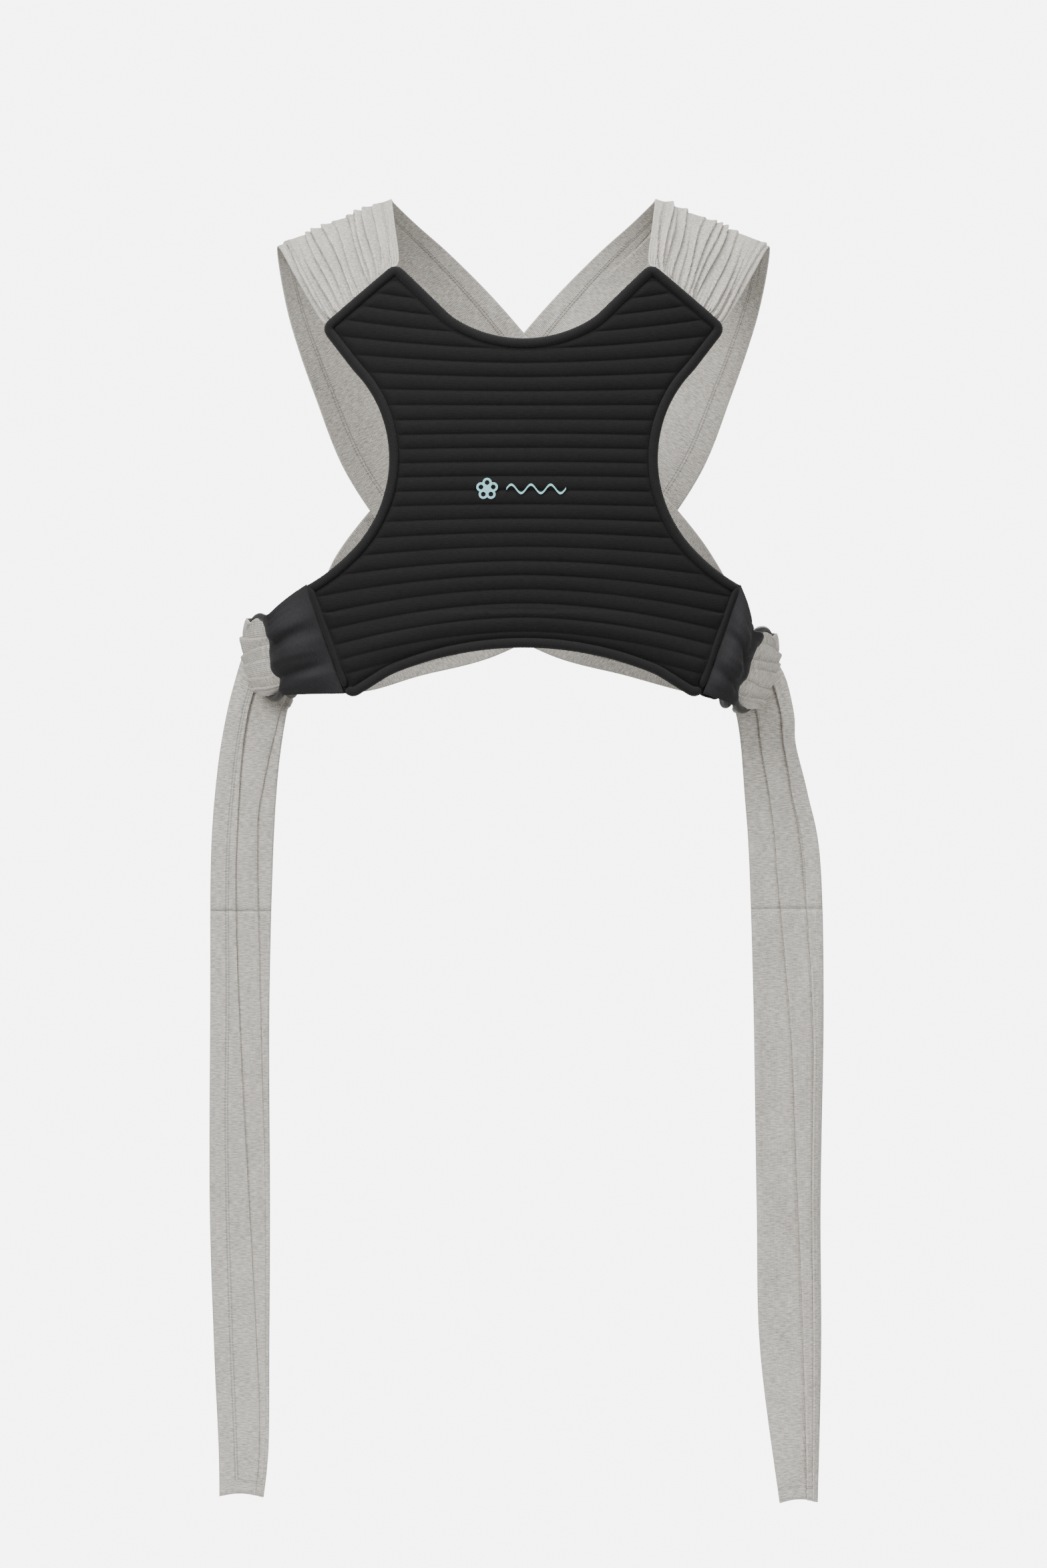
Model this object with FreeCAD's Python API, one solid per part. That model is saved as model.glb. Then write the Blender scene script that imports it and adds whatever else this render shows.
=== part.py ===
"""Soft baby carrier: a quilted front panel worn on the chest, two jersey straps that leave its top
corners, pass over the shoulders, cross on the back and come through a pair of sling rings at each hip.

It is modelled as it hangs on a wearer, in millimetres: +Z is up, the panel faces -Y, and the origin is
the middle of the shoulder line. "Left" is the -X side. Each piece is written to parts/NODE.step.
"""

import FreeCAD
import Part

import math
import os

V = FreeCAD.Vector
LEFT, RIGHT = -1, 1
SIDE_NAME = {LEFT: "left", RIGHT: "right"}

# ---- the panel: a sheet bent round an upright cylinder, outlined in the XZ plane ----
BEND_RADIUS = 400.0  # outer face of the panel, from the cylinder's axis
BEND_AXIS_Y = 270.0
FRONT_CLOTH = 1.5
PADDING = 7.0
LINING_CLOTH = 1.5
PANEL_THICK = FRONT_CLOTH + PADDING + LINING_CLOTH
NECK_LOW = (0.0, -129.5)
NECK_SIDE = (72.0, -106.5)
TOP_CORNER = (127.0, -52.0)
ARM_CORNER = (204.0, -113.0)
ARM_TOP = (170.0, -158.0)
ARM_WAIST = (133.8, -249.0)
ARM_LOW = (172.0, -338.0)
ARM_FLARE = (195.0, -357.5)
SEAM_TOP = (219.0, -372.0)
SEAM_LOW = (176.0, -489.0)
HEM_SIDE = (133.0, -462.5)
HEM_TOP = (0.0, -436.0)
CORNER_ROUND = 11.0

# ---- the padded binding that rolls round the panel's edge ----
BINDING_WIDTH = 9.5
BINDING_PROUD = 0.8  # past each face of the panel
BINDING_CLOTH = 1.5
BINDING_GAP = ((245, -381), (192, -381), (150, -461.5), (200, -493))  # the wing is sewn to the panel here

# ---- the sling rings, in pairs, opened like a book by the strap between them ----
RING_RADIUS = 42.0  # to the middle of the bar: 76 mm inside, 92 mm outside
BAR_RADIUS = 4.0
RING_SPACING = 9.0
RING_SPLAY = 5.0
RING_YAW = 72.0  # how far the ring's face is turned outwards from straight ahead
RING_CENTRE = {LEFT: V(-252, -15, -441), RIGHT: V(224.5, -15, -452.5)}
RING_TILT = {LEFT: 12.5, RIGHT: 17.0}  # the top of the ring leans outwards
RING_HINGE = RING_RADIUS + BAR_RADIUS  # from the ring's centre to the line that the rings open about
RING_LIFT_MAX = 15.0

# ---- the jersey wing that holds the rings ----
WING_CLOTH = 2.0
WING_SEAM_GAP = 4.0
WING_SEAM_THICK = 7.0
WING_SEAM_HEIGHT = 108.0
WING_FOLD = 24.0  # from the ring's centre to the fold that passes through the rings
WING_SHOULDER = 52.5
WING_SHOULDER_HEIGHT = 97.0
WING_FOLD_HEIGHT = 90.0
POCKET_IN = -11.3  # the pocket for the bars, across the rings' faces
POCKET_OUT = 17.5
POCKET_END = 50.5
POCKET_HALF_HEIGHT = 42.6
FOLD_HALF_HEIGHT = 26.0

# ---- the strap where it goes through the rings ----
WRAP_THICK = 5.7
WRAP_CLEAR = 0.3
WRAP_HALF_ANGLE = 42.0
FEED_THICK = 9.0
FEED_HALF_HEIGHT = 17.0
FEED_RADIUS = 20.8  # from the ring's centre to the middle of the strap that passes through the rings
FEED_IN = -21.0
FEED_OUT = 8.0

# ---- the hanging tails ----
TAIL_THICK = 5.0
TAIL_Y = 36.0
TAIL_HINGE_Z = -505.0
TAIL_FOLD_Z = -905.0
TAIL_LOW = {LEFT: -1300.0, RIGHT: -1309.0}
HINGE_GAP = 1.0
BEND_OUTER = ((22, 37), (32, 19), (42, -15))  # out from and above the ring's centre
BEND_INNER = ((13, -31), (14, 33))

# ---- the strap over the shoulder and across the back ----
ANCHOR_CORNERS = ((132, -76), (186, -119), (166, -141), (112, -97))  # stitched inside the top corner
ANCHOR_DEPTH = 2.5  # below the panel's outer face
ANCHOR_THICK = 4.0
STRAP_END_IN = 20.0  # the end that enters the rings: from the ring's centre, away from the panel
STRAP_END_BEHIND = 34.0
STRAP_END_HALF = 33.0
BACK_Y = 112.0
BACK_FALL = 700.0  # the back curves away as x squared over this
CROSS_OFFSET = 7.0  # the right strap lies outside the left one where they cross
STRAP_POINTS = 7  # points across the strap in each section


def xz(point, side=RIGHT):
    return V(side * point[0], 0, point[1])


def along(a, b, share):
    return a + (b - a) * share


def line(a, b):
    return Part.LineSegment(a, b).toShape()


def flat_polygon(points):
    return Part.Face(Part.makePolygon(points + points[:1]))


def upright_rectangle(x_from, x_to, z_from, z_to):
    return flat_polygon([V(x_from, 0, z_from), V(x_to, 0, z_from), V(x_to, 0, z_to), V(x_from, 0, z_to)])


def arc(a, mid, b):
    return Part.Arc(a, mid, b).toShape()


def rounded_corner(before, corner, after, radius):
    """The two tangent points and the middle of the arc that rounds a corner between straight runs."""
    to_before = (before - corner).normalize()
    to_after = (after - corner).normalize()
    half = to_before.getAngle(to_after) / 2
    reach = radius / math.tan(half)
    middle = (to_before + to_after).normalize()
    depth = radius / math.sin(half) - radius
    return corner + to_before * reach, corner + middle * depth, corner + to_after * reach


def face_y(x, radius=BEND_RADIUS):
    """Where the upright cylinder of that radius is at x."""
    return BEND_AXIS_Y - math.sqrt(radius**2 - x**2)


# ---------------------------------------------------------------- the panel


def halfway_on_arch(crown, springing):
    """The point at half the x of an arc that is level at its crown and ends at its springing."""
    half_span, rise = springing[0], abs(springing[1] - crown[1])
    radius = (half_span**2 + rise**2) / (2 * rise)
    drop = radius - math.sqrt(radius**2 - (half_span / 2) ** 2)
    return half_span / 2, crown[1] + math.copysign(drop, springing[1] - crown[1])


def half_outline(side):
    """Edges of one half of the panel, from the middle of the neckline round to the middle of the hem."""
    neck_side, top, arm = xz(NECK_SIDE, side), xz(TOP_CORNER, side), xz(ARM_CORNER, side)
    arm_top, seam_top, seam_low = xz(ARM_TOP, side), xz(SEAM_TOP, side), xz(SEAM_LOW, side)
    hem_side = xz(HEM_SIDE, side)
    neck_mid = halfway_on_arch(NECK_LOW, NECK_SIDE)
    hem_mid = halfway_on_arch(HEM_TOP, HEM_SIDE)
    top_in, top_mid, top_out = rounded_corner(neck_side, top, arm, CORNER_ROUND)
    arm_in, arm_mid, arm_out = rounded_corner(top, arm, arm_top, CORNER_ROUND)
    low_in, low_mid, low_out = rounded_corner(seam_top, seam_low, hem_side, CORNER_ROUND)
    return [
        arc(xz(NECK_LOW, side), xz(neck_mid, side), neck_side),
        line(neck_side, top_in),
        arc(top_in, top_mid, top_out),
        line(top_out, arm_in),
        arc(arm_in, arm_mid, arm_out),
        line(arm_out, arm_top),
        arc(arm_top, xz(ARM_WAIST, side), xz(ARM_LOW, side)),
        arc(xz(ARM_LOW, side), xz(ARM_FLARE, side), seam_top),
        line(seam_top, low_in),
        arc(low_in, low_mid, low_out),
        line(low_out, hem_side),
        arc(hem_side, xz(hem_mid, side), xz(HEM_TOP, side)),
    ]


def panel_outline():
    edges = half_outline(LEFT) + half_outline(RIGHT)
    return Part.Wire(Part.__sortEdges__(edges))


def prism(flat):
    """A flat XZ face made deep enough along Y to cut any layer of the panel."""
    deep = flat.copy()
    deep.translate(V(0, -250, 0))
    return deep.extrude(V(0, 300, 0))


def layer(flat, depth_from, depth_to):
    """The flat face laid on the bent panel, between two depths below its outer face."""
    base, height = V(0, BEND_AXIS_Y, -600), 700
    outer = Part.makeCylinder(BEND_RADIUS - depth_from, height, base)
    inner = Part.makeCylinder(BEND_RADIUS - depth_to, height, base)
    return prism(flat).common(outer.cut(inner))


def seam_gap(side):
    """The stretch of the panel's edge, on one side, that has no binding."""
    return flat_polygon([xz(point, side) for point in BINDING_GAP])


def panel_faces():
    """The quilted field and the two runs of binding, as flat faces."""
    full = Part.Face(panel_outline())
    inset = Part.Face(panel_outline().makeOffset2D(-BINDING_WIDTH))
    rim = full.cut(inset).cut(seam_gap(LEFT)).cut(seam_gap(RIGHT))
    upper, lower = sorted(rim.Faces, key=lambda f: -f.BoundBox.ZMax)[:2]
    return full.cut(upper).cut(lower), upper, lower


def binding_pair(flat):
    """The rolled cloth of a run of binding, and the soft filler inside it."""
    core = flat.makeOffset2D(-BINDING_CLOTH)
    proud, deep = -BINDING_PROUD, PANEL_THICK + BINDING_PROUD
    filler = layer(core, proud + BINDING_CLOTH, deep - BINDING_CLOTH)
    return layer(flat, proud, deep).cut(filler), filler


def strap_anchor(side):
    """The gathered end of a strap, stitched flat inside the panel's top corner."""
    patch = flat_polygon([xz(point, side) for point in ANCHOR_CORNERS])
    return layer(patch, ANCHOR_DEPTH, ANCHOR_DEPTH + ANCHOR_THICK)


# ---------------------------------------------------------------- the embroidery and the label

EMBLEM_Z = -279.0
EMBLEM_RAISED = 0.7
STITCH_THICK = 2.2
FLOWER_X = -36.0
PETALS = 5
PETAL_RADIUS = 4.6
PETAL_REACH = 6.4  # from the middle of the flower to the middle of a petal
WAVE_FROM, WAVE_TO = -17.0, 42.0
WAVE_HEIGHT = 4.2
WAVE_LENGTH = 19.5
LABEL_X = 70.0
LABEL_LOW = -428.0
LABEL_WIDE = 28.0
LABEL_TALL = 44.0
LABEL_THICK = 0.8


def disc(x, z, radius):
    return Part.Face(Part.Wire(Part.makeCircle(radius, V(x, 0, z), V(0, 1, 0))))


def flower(petal_radius):
    """Round petals in a ring, joined into one flat shape."""
    turns = [2 * math.pi * i / PETALS for i in range(PETALS)]
    middles = [(FLOWER_X + PETAL_REACH * math.sin(a), EMBLEM_Z + PETAL_REACH * math.cos(a)) for a in turns]
    petals = [disc(x, z, petal_radius) for x, z in middles]
    return petals[0].multiFuse(petals[1:])


def wave():
    """A stitched line that rises and falls along a sine."""
    steps = 48
    xs = [along(WAVE_FROM, WAVE_TO, i / steps) for i in range(steps + 1)]
    middle = [EMBLEM_Z + WAVE_HEIGHT * math.sin(2 * math.pi * (x - WAVE_FROM) / WAVE_LENGTH) for x in xs]
    upper = [V(x, 0, z + STITCH_THICK / 2) for x, z in zip(xs, middle)]
    lower = [V(x, 0, z - STITCH_THICK / 2) for x, z in zip(xs, middle)]
    return flat_polygon(upper + lower[::-1])


def emblem():
    """A raised satin-stitch flower beside a wavy line."""
    outline = flower(PETAL_RADIUS).cut(flower(PETAL_RADIUS - STITCH_THICK))
    flats = [outline, disc(FLOWER_X, EMBLEM_Z, STITCH_THICK), wave()]
    return Part.makeCompound([solid for flat in flats for solid in layer(flat, -EMBLEM_RAISED, 0).Solids])


def care_label():
    """A folded satin label sewn to the lining near the hem."""
    flat = upright_rectangle(LABEL_X, LABEL_X + LABEL_WIDE, LABEL_LOW, LABEL_LOW + LABEL_TALL)
    return layer(flat, PANEL_THICK + 0.2, PANEL_THICK + 0.2 + LABEL_THICK)


# ---------------------------------------------------------------- rings and wings


def ring_axes(side):
    """Ring-local directions: r towards the panel, t up the ring, n out of its face."""
    yaw, tilt = math.radians(RING_YAW), math.radians(RING_TILT[side])
    lean = FreeCAD.Rotation(V(0, 1, 0), side * math.degrees(tilt))
    r = V(-side * math.cos(yaw), -math.sin(yaw), 0)
    n = V(side * math.sin(yaw), -math.cos(yaw), 0)
    return lean.multVec(r), lean.multVec(V(0, 0, 1)), lean.multVec(n)


def in_ring_frame(shape, side):
    """Carries a shape from ring-local coordinates into the carrier's frame; the left frame is a mirror image."""
    r, t, n = ring_axes(side)
    c = RING_CENTRE[side]
    matrix = FreeCAD.Matrix(r.x, t.x, n.x, c.x, r.y, t.y, n.y, c.y, r.z, t.z, n.z, c.z, 0, 0, 0, 1)
    return shape.transformGeometry(matrix) if matrix.determinant() < 0 else shape.transformed(matrix)


def local_box(r, t, n):
    """A box between two bounds along each ring-local direction."""
    return Part.makeBox(r[1] - r[0], t[1] - t[0], n[1] - n[0], V(r[0], t[0], n[0]))


def opened(shape, face_sign):
    """A ring-local shape turned about the rings' hinge by the splay, and moved to its ring of the pair."""
    shape = shape.copy()
    shape.translate(V(0, 0, face_sign * RING_SPACING / 2))
    shape.rotate(V(RING_HINGE, 0, 0), V(0, 1, 0), face_sign * RING_SPLAY)
    return shape


def ring(side, face_sign):
    torus = Part.makeTorus(RING_RADIUS, BAR_RADIUS, V(0, 0, 0), V(0, 0, 1))
    return in_ring_frame(opened(torus, face_sign), side)


def ring_wrap(side):
    """The strap folded over the front ring's far bar."""
    centre = V(-RING_RADIUS, 0, 0)
    tube = Part.Face(Part.Wire(Part.makeCircle(BAR_RADIUS + WRAP_CLEAR + WRAP_THICK, centre, V(0, 1, 0))))
    bar = Part.Face(Part.Wire(Part.makeCircle(BAR_RADIUS + WRAP_CLEAR, centre, V(0, 1, 0))))
    shell = tube.cut(bar)
    shell.rotate(V(0, 0, 0), V(0, 0, 1), -WRAP_HALF_ANGLE)
    return in_ring_frame(opened(shell.revolve(V(0, 0, 0), V(0, 0, 1), 2 * WRAP_HALF_ANGLE), 1), side)


def strap_feed(side):
    """The strap as it passes through both rings, on the panel side of the wrap."""
    tongue = local_box(
        (-FEED_RADIUS - FEED_THICK / 2, -FEED_RADIUS + FEED_THICK / 2),
        (-FEED_HALF_HEIGHT, FEED_HALF_HEIGHT),
        (FEED_IN, FEED_OUT),
    )
    return in_ring_frame(opened(tongue, 1), side)


def seam_frame(side):
    """The seam between panel and wing: its top and low ends, and the directions along, out and across it."""
    top = V(side * SEAM_TOP[0], face_y(SEAM_TOP[0]) + PANEL_THICK / 2, SEAM_TOP[1])
    low = V(side * SEAM_LOW[0], face_y(SEAM_LOW[0]) + PANEL_THICK / 2, SEAM_LOW[1])
    up = (top - low).normalize()
    middle = (top + low) / 2
    from_axis = V(middle.x, middle.y - BEND_AXIS_Y, 0)
    across = (from_axis - up * from_axis.dot(up)).normalize()
    out = up.cross(across) * -side
    if out.x * side < 0:
        out = out * -1
    return middle, up, out, across


def section(centre, up, across, height, outward, inward):
    """A rectangle that reaches past its centre by half its height along up, and by two amounts across."""
    top, low = centre + up * (height / 2), centre - up * (height / 2)
    corners = [top + across * outward, low + across * outward, low - across * inward, top - across * inward]
    return Part.makePolygon(corners + corners[:1])


def wing(side):
    """The jersey wing: sewn to the panel, folded through both rings, with a pocket for their bars."""
    middle, up, out, across = seam_frame(side)
    r, t, n = ring_axes(side)
    c = RING_CENTRE[side]
    out_wall, in_wall = POCKET_OUT + WING_CLOTH, -POCKET_IN + WING_CLOTH
    half_seam = WING_SEAM_THICK / 2
    seam = section(middle + out * WING_SEAM_GAP, up, across, WING_SEAM_HEIGHT, half_seam, half_seam)
    shoulder = section(c + r * WING_SHOULDER, t, n, WING_SHOULDER_HEIGHT, out_wall, in_wall)
    fold = section(c + r * WING_FOLD, t, n, WING_FOLD_HEIGHT, out_wall, in_wall)
    bag = Part.makeLoft([seam, shoulder, fold], True, True)
    half = POCKET_HALF_HEIGHT
    pocket = local_box((WING_FOLD - 1, POCKET_END), (-half, half), (POCKET_IN, POCKET_OUT))
    kept_fold = local_box(
        (WING_FOLD, WING_FOLD + WING_CLOTH),
        (-FOLD_HALF_HEIGHT, FOLD_HALF_HEIGHT),
        (POCKET_IN - 1, POCKET_OUT + 1),
    )
    return bag.cut(in_ring_frame(pocket.cut(kept_fold), side))


# ---------------------------------------------------------------- straps


def back_y(x):
    return BACK_Y - x * x / BACK_FALL


def strap_stations(side):
    """The strap's inner and outer edge at each section, how far it follows the back, and its thickness.

    A station is written for the left strap, whose shoulder is at -X and whose ring is at +X.
    """
    listed = [
        # inner edge            outer edge            back  thick
        ((-125, -86, -45), (-203, -70, -106), 0.0, 5.0),
        ((-130, -54, -8), (-228, -44, -62), 0.0, 4.5),
        ((-134, -16, 21), (-247, -14, -27), 0.0, 4.0),
        ((-132, 14, 22), (-251, 10, -28), 0.0, 4.0),
        ((-110, 52, 6), (-247, 30, -60), 0.3, 3.5),
        ((-75, 84, -22), (-237, 42, -104), 0.6, 3.0),
        ((-30, 106, -66), (-215, 47, -170), 1.0, 2.5),
        ((25, 111, -130), (-182, 65, -252), 1.0, 2.5),
        ((85, 102, -203), (-125, 90, -330), 1.0, 2.5),
        ((130, 88, -254), (-52, 108, -392), 1.0, 2.5),
        ((168, 72, -299), (28, 111, -436), 1.0, 3.0),
        ((194, 55, -336), (108, 95, -458), 0.8, 3.5),
        ((212, 36, -374), (168, 66, -475), 0.5, 4.5),
    ]
    mirror = -side
    ring_side = -side
    stations = []
    for inner, outer, back, thick in listed:
        offset = CROSS_OFFSET * back if side == RIGHT else 0.0
        a = V(mirror * inner[0], inner[1] + offset, inner[2])
        b = V(mirror * outer[0], outer[1] + offset, outer[2])
        stations.append((a, b, back, thick, offset))
    r, t, n = ring_axes(ring_side)
    entry = RING_CENTRE[ring_side] - r * STRAP_END_IN - n * STRAP_END_BEHIND
    stations.append((entry + t * STRAP_END_HALF, entry - t * STRAP_END_HALF, 0.0, 5.5, 0.0))
    return stations


def strap_grid(side):
    """Points on the middle surface of the strap, one row per station."""
    rows = []
    for a, b, back, thick, offset in strap_stations(side):
        row = []
        for j in range(STRAP_POINTS):
            p = along(a, b, j / (STRAP_POINTS - 1))
            on_back = back_y(p.x) + offset
            row.append(V(p.x, p.y + (on_back - p.y) * back, p.z))
        rows.append((row, thick))
    return rows


def shoulder_strap(side):
    """One strap from the panel's corner over the shoulder and across the back to the far ring."""
    rows = strap_grid(side)
    last = len(rows) - 1
    sections = []
    for i, (row, thick) in enumerate(rows):
        before, after = rows[max(i - 1, 0)][0], rows[min(i + 1, last)][0]
        front, back = [], []
        for j, p in enumerate(row):
            k = STRAP_POINTS // 2 if i in (0, last) else j  # the ends of the strap are flat
            across = row[min(k + 1, STRAP_POINTS - 1)] - row[max(k - 1, 0)]
            normal = across.cross(after[k] - before[k]).normalize()
            front.append(p + normal * (thick / 2))
            back.append(p - normal * (thick / 2))
        sections.append(Part.makePolygon(front + back[::-1] + front[:1]))
    return Part.makeLoft(sections, True, True)


# ---------------------------------------------------------------- tails


def tail_edges(side):
    """(height, outer edge, inner edge) down a hanging tail."""
    if side == LEFT:
        return [
            (-508, 302, 242),
            (-590, 313, 252),
            (-680, 317, 255),
            (-905, 318.5, 258.5),
            (-1165, 311, 258),
            (TAIL_LOW[LEFT], 307.5, 264),
        ]
    return [
        (-508, 284, 225),
        (-590, 299, 234),
        (-680, 309, 239),
        (-905, 310.5, 242),
        (-1165, 309, 250),
        (TAIL_LOW[RIGHT], 306, 267),
    ]


def tail_width_at(side, z):
    rows = tail_edges(side)
    for (z0, o0, i0), (z1, o1, i1) in zip(rows, rows[1:]):
        if z0 >= z >= z1:
            share = (z0 - z) / (z0 - z1)
            return o0 + (o1 - o0) * share, i0 + (i1 - i0) * share
    return rows[0][1:] if z > rows[0][0] else rows[-1][1:]


def tail_run(side, z_top, z_low):
    """A stretch of tail that turns about its top end without touching the stretch above."""
    half = TAIL_THICK / 2
    heights = [z_top] + [z for z, _, _ in tail_edges(side) if z_low < z < z_top - half] + [z_low]
    outer = [V(side * tail_width_at(side, z)[0], TAIL_Y - half, z) for z in heights]
    inner = [V(side * tail_width_at(side, z)[1], TAIL_Y - half, z) for z in heights]
    flat = Part.Face(Part.makePolygon(outer + inner[::-1] + outer[:1]))
    plate = flat.extrude(V(0, TAIL_THICK, 0))
    o, i = tail_width_at(side, z_top)
    top_roll = Part.makeCylinder(half, abs(o - i), V(min(side * o, side * i), TAIL_Y, z_top), V(1, 0, 0))
    return plate.fuse(top_roll).removeSplitter()


def tail_bend(side):
    """The strap as it leaves the rings and turns down into the tail."""
    ring_x, ring_z = abs(RING_CENTRE[side].x), RING_CENTRE[side].z
    low = TAIL_HINGE_Z + TAIL_THICK / 2 + HINGE_GAP
    outer_low, inner_low = tail_width_at(side, TAIL_HINGE_Z)
    outer = [(ring_x + out, ring_z + up) for out, up in BEND_OUTER] + [(outer_low - 1, low)]
    inner = [(inner_low + 1, low)] + [(ring_x + out, ring_z + up) for out, up in BEND_INNER]
    points = [V(side * x, TAIL_Y - TAIL_THICK / 2, z) for x, z in outer + inner]
    return flat_polygon(points).extrude(V(0, TAIL_THICK, 0))


# ---------------------------------------------------------------- the whole carrier


def build():
    field, upper, lower = panel_faces()
    anchors = {side: strap_anchor(side) for side in (LEFT, RIGHT)}
    padding = layer(field, FRONT_CLOTH, FRONT_CLOTH + PADDING)
    parts = {
        "quilted_front": layer(field, 0, FRONT_CLOTH),
        "padding": padding.cut(anchors[LEFT]).cut(anchors[RIGHT]),
        "lining": layer(field, FRONT_CLOTH + PADDING, PANEL_THICK),
        "emblem": emblem(),
        "care_label": care_label(),
    }
    parts["upper_binding"], parts["upper_binding_filler"] = binding_pair(upper)
    parts["lower_binding"], parts["lower_binding_filler"] = binding_pair(lower)
    for side in (LEFT, RIGHT):
        name = SIDE_NAME[side]
        tail_top, tail_fold = TAIL_HINGE_Z, TAIL_FOLD_Z
        parts[name + "_strap_anchor"] = anchors[side]
        parts[name + "_shoulder_strap"] = shoulder_strap(side)
        parts[name + "_wing"] = wing(side)
        parts[name + "_front_ring"] = ring(side, 1)
        parts[name + "_back_ring"] = ring(side, -1)
        parts[name + "_strap_feed"] = strap_feed(side)
        parts[name + "_ring_wrap"] = ring_wrap(side)
        parts[name + "_tail_bend"] = tail_bend(side)
        parts[name + "_tail"] = tail_run(side, tail_top, tail_fold + TAIL_THICK / 2 + HINGE_GAP)
        parts[name + "_tail_end"] = tail_run(side, tail_fold, TAIL_LOW[side])
    return parts


os.makedirs("parts", exist_ok=True)
for name, shape in build().items():
    solids = shape.Solids
    print(f"{name:24s} solids {len(solids)} volume {shape.Volume / 1000:9.2f} cm3 valid {shape.isValid()}")
    whole = solids[0] if len(solids) == 1 else Part.makeCompound(solids)
    whole.exportStep(f"parts/{name}.step")
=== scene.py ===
"""A soft baby carrier, dressed for its picture.

A quilted jersey panel hangs on two long jersey straps. They leave its top corners in gathers, pass over
the shoulders, cross on the back, run through a pair of sling rings at each hip and hang down as tails.
Metres throughout: +Z is up, the panel faces -Y, and "left" is the -X side.
"""

import math

import bmesh
import bpy
import numpy as np
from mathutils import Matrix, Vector, geometry, noise


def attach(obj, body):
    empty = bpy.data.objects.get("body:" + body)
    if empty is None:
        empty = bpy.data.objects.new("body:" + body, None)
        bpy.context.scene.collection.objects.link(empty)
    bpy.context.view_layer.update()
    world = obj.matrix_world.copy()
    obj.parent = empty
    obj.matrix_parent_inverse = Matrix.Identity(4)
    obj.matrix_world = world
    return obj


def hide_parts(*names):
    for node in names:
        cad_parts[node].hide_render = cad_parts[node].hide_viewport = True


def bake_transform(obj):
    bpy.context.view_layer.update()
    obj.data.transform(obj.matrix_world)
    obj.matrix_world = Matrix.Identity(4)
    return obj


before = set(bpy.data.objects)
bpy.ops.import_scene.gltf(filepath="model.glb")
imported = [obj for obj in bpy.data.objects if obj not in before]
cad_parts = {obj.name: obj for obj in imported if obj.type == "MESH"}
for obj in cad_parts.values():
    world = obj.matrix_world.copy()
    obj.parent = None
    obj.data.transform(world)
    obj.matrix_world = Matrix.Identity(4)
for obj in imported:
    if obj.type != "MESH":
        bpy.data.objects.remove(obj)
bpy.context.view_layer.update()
LEFT, RIGHT = -1, 1
SIDE_NAME = {LEFT: "left", RIGHT: "right"}

# ------------------------------------------------------------------------------------------------
# The camera
# A long lens a few steps in front of the carrier, level with its middle, looks straight along +Y.
# ------------------------------------------------------------------------------------------------
CAMERA_BACK = 4.5
CAMERA_HEIGHT = -0.571
CAMERA_LENS = 101.4

camera_data = bpy.data.cameras.new("studio_camera")
camera_data.lens = CAMERA_LENS
camera_data.sensor_width = 36.0
camera = bpy.data.objects.new("studio_camera", camera_data)
camera.location = (0.0, -CAMERA_BACK, CAMERA_HEIGHT)
camera.rotation_euler = (math.radians(90), 0, 0)
bpy.context.scene.collection.objects.link(camera)
bpy.context.scene.camera = camera

# ------------------------------------------------------------------------------------------------
# The quilted front
# Matte black cotton jersey over wadding, sewn through in level channels that lift towards the top
# corners and arch over the hem. The cloth is bent round the baby like part of an upright cylinder.
# ------------------------------------------------------------------------------------------------
BEND_RADIUS = 0.400
BEND_AXIS_Y = 0.270
SLUB_SCALE = (150.0, 1000.0, 1.0)
PANEL_THICK = 0.010
CHANNEL_PITCH = 0.0140
CHANNEL_DEPTH = 0.0023
CHANNEL_STEPS = (0.0, 0.045, 0.11, 0.22, 0.36, 0.5, 0.64, 0.78, 0.89, 0.955)
QUILT_STEP = 0.0036
QUILT_BLACK = (0.0038, 0.0036, 0.0036)
NECK_LOW = (0.0, -0.1295)
NECK_SIDE = (0.072, -0.1065)
TOP_CORNER = (0.127, -0.052)
ARM_CORNER = (0.204, -0.113)
ARM_TOP = (0.170, -0.158)
ARM_WAIST = (0.1338, -0.249)
ARM_LOW = (0.172, -0.338)
ARM_FLARE = (0.195, -0.3575)
SEAM_TOP = (0.219, -0.372)
SEAM_LOW = (0.176, -0.489)
HEM_SIDE = (0.133, -0.4625)
HEM_TOP = (0.0, -0.436)
CORNER_ROUND = 0.011
EASE_REACH = 0.010
EASE_SPREAD = 0.006


def straight(a, b, step):
    """Points from a to b, without b itself."""
    a, b = np.array(a, float), np.array(b, float)
    count = max(1, round(np.linalg.norm(b - a) / step))
    return [a + (b - a) * i / count for i in range(count)]


def arc_through(a, mid, b, step):
    """Points on the circle through three points, from a to b, without b itself."""
    a, m, b = (complex(*p) for p in (a, mid, b))
    w = (b - a) / (m - a)
    centre = (m - a) * (w - abs(w) ** 2) / (2j * w.imag) + a
    start, middle, end = ((p - centre) for p in (a, m, b))
    sweep = np.angle(end / middle) + np.angle(middle / start)
    count = max(2, round(abs(sweep) * abs(start) / step))
    turned = [centre + start * np.exp(1j * sweep * i / count) for i in range(count)]
    return [np.array((p.real, p.imag)) for p in turned]


def corner_round(before, corner, after, step):
    """Points of the arc that rounds the corner between two straight runs."""
    before, corner, after = (np.array(p, float) for p in (before, corner, after))
    to_before = (before - corner) / np.linalg.norm(before - corner)
    to_after = (after - corner) / np.linalg.norm(after - corner)
    half = math.acos(float(np.clip(to_before @ to_after, -1, 1))) / 2
    reach = CORNER_ROUND / math.tan(half)
    bisector = (to_before + to_after) / np.linalg.norm(to_before + to_after)
    depth = CORNER_ROUND / math.sin(half) - CORNER_ROUND
    start, end = corner + to_before * reach, corner + to_after * reach
    return arc_through(start, corner + bisector * depth, end, step) + [end]


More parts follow.
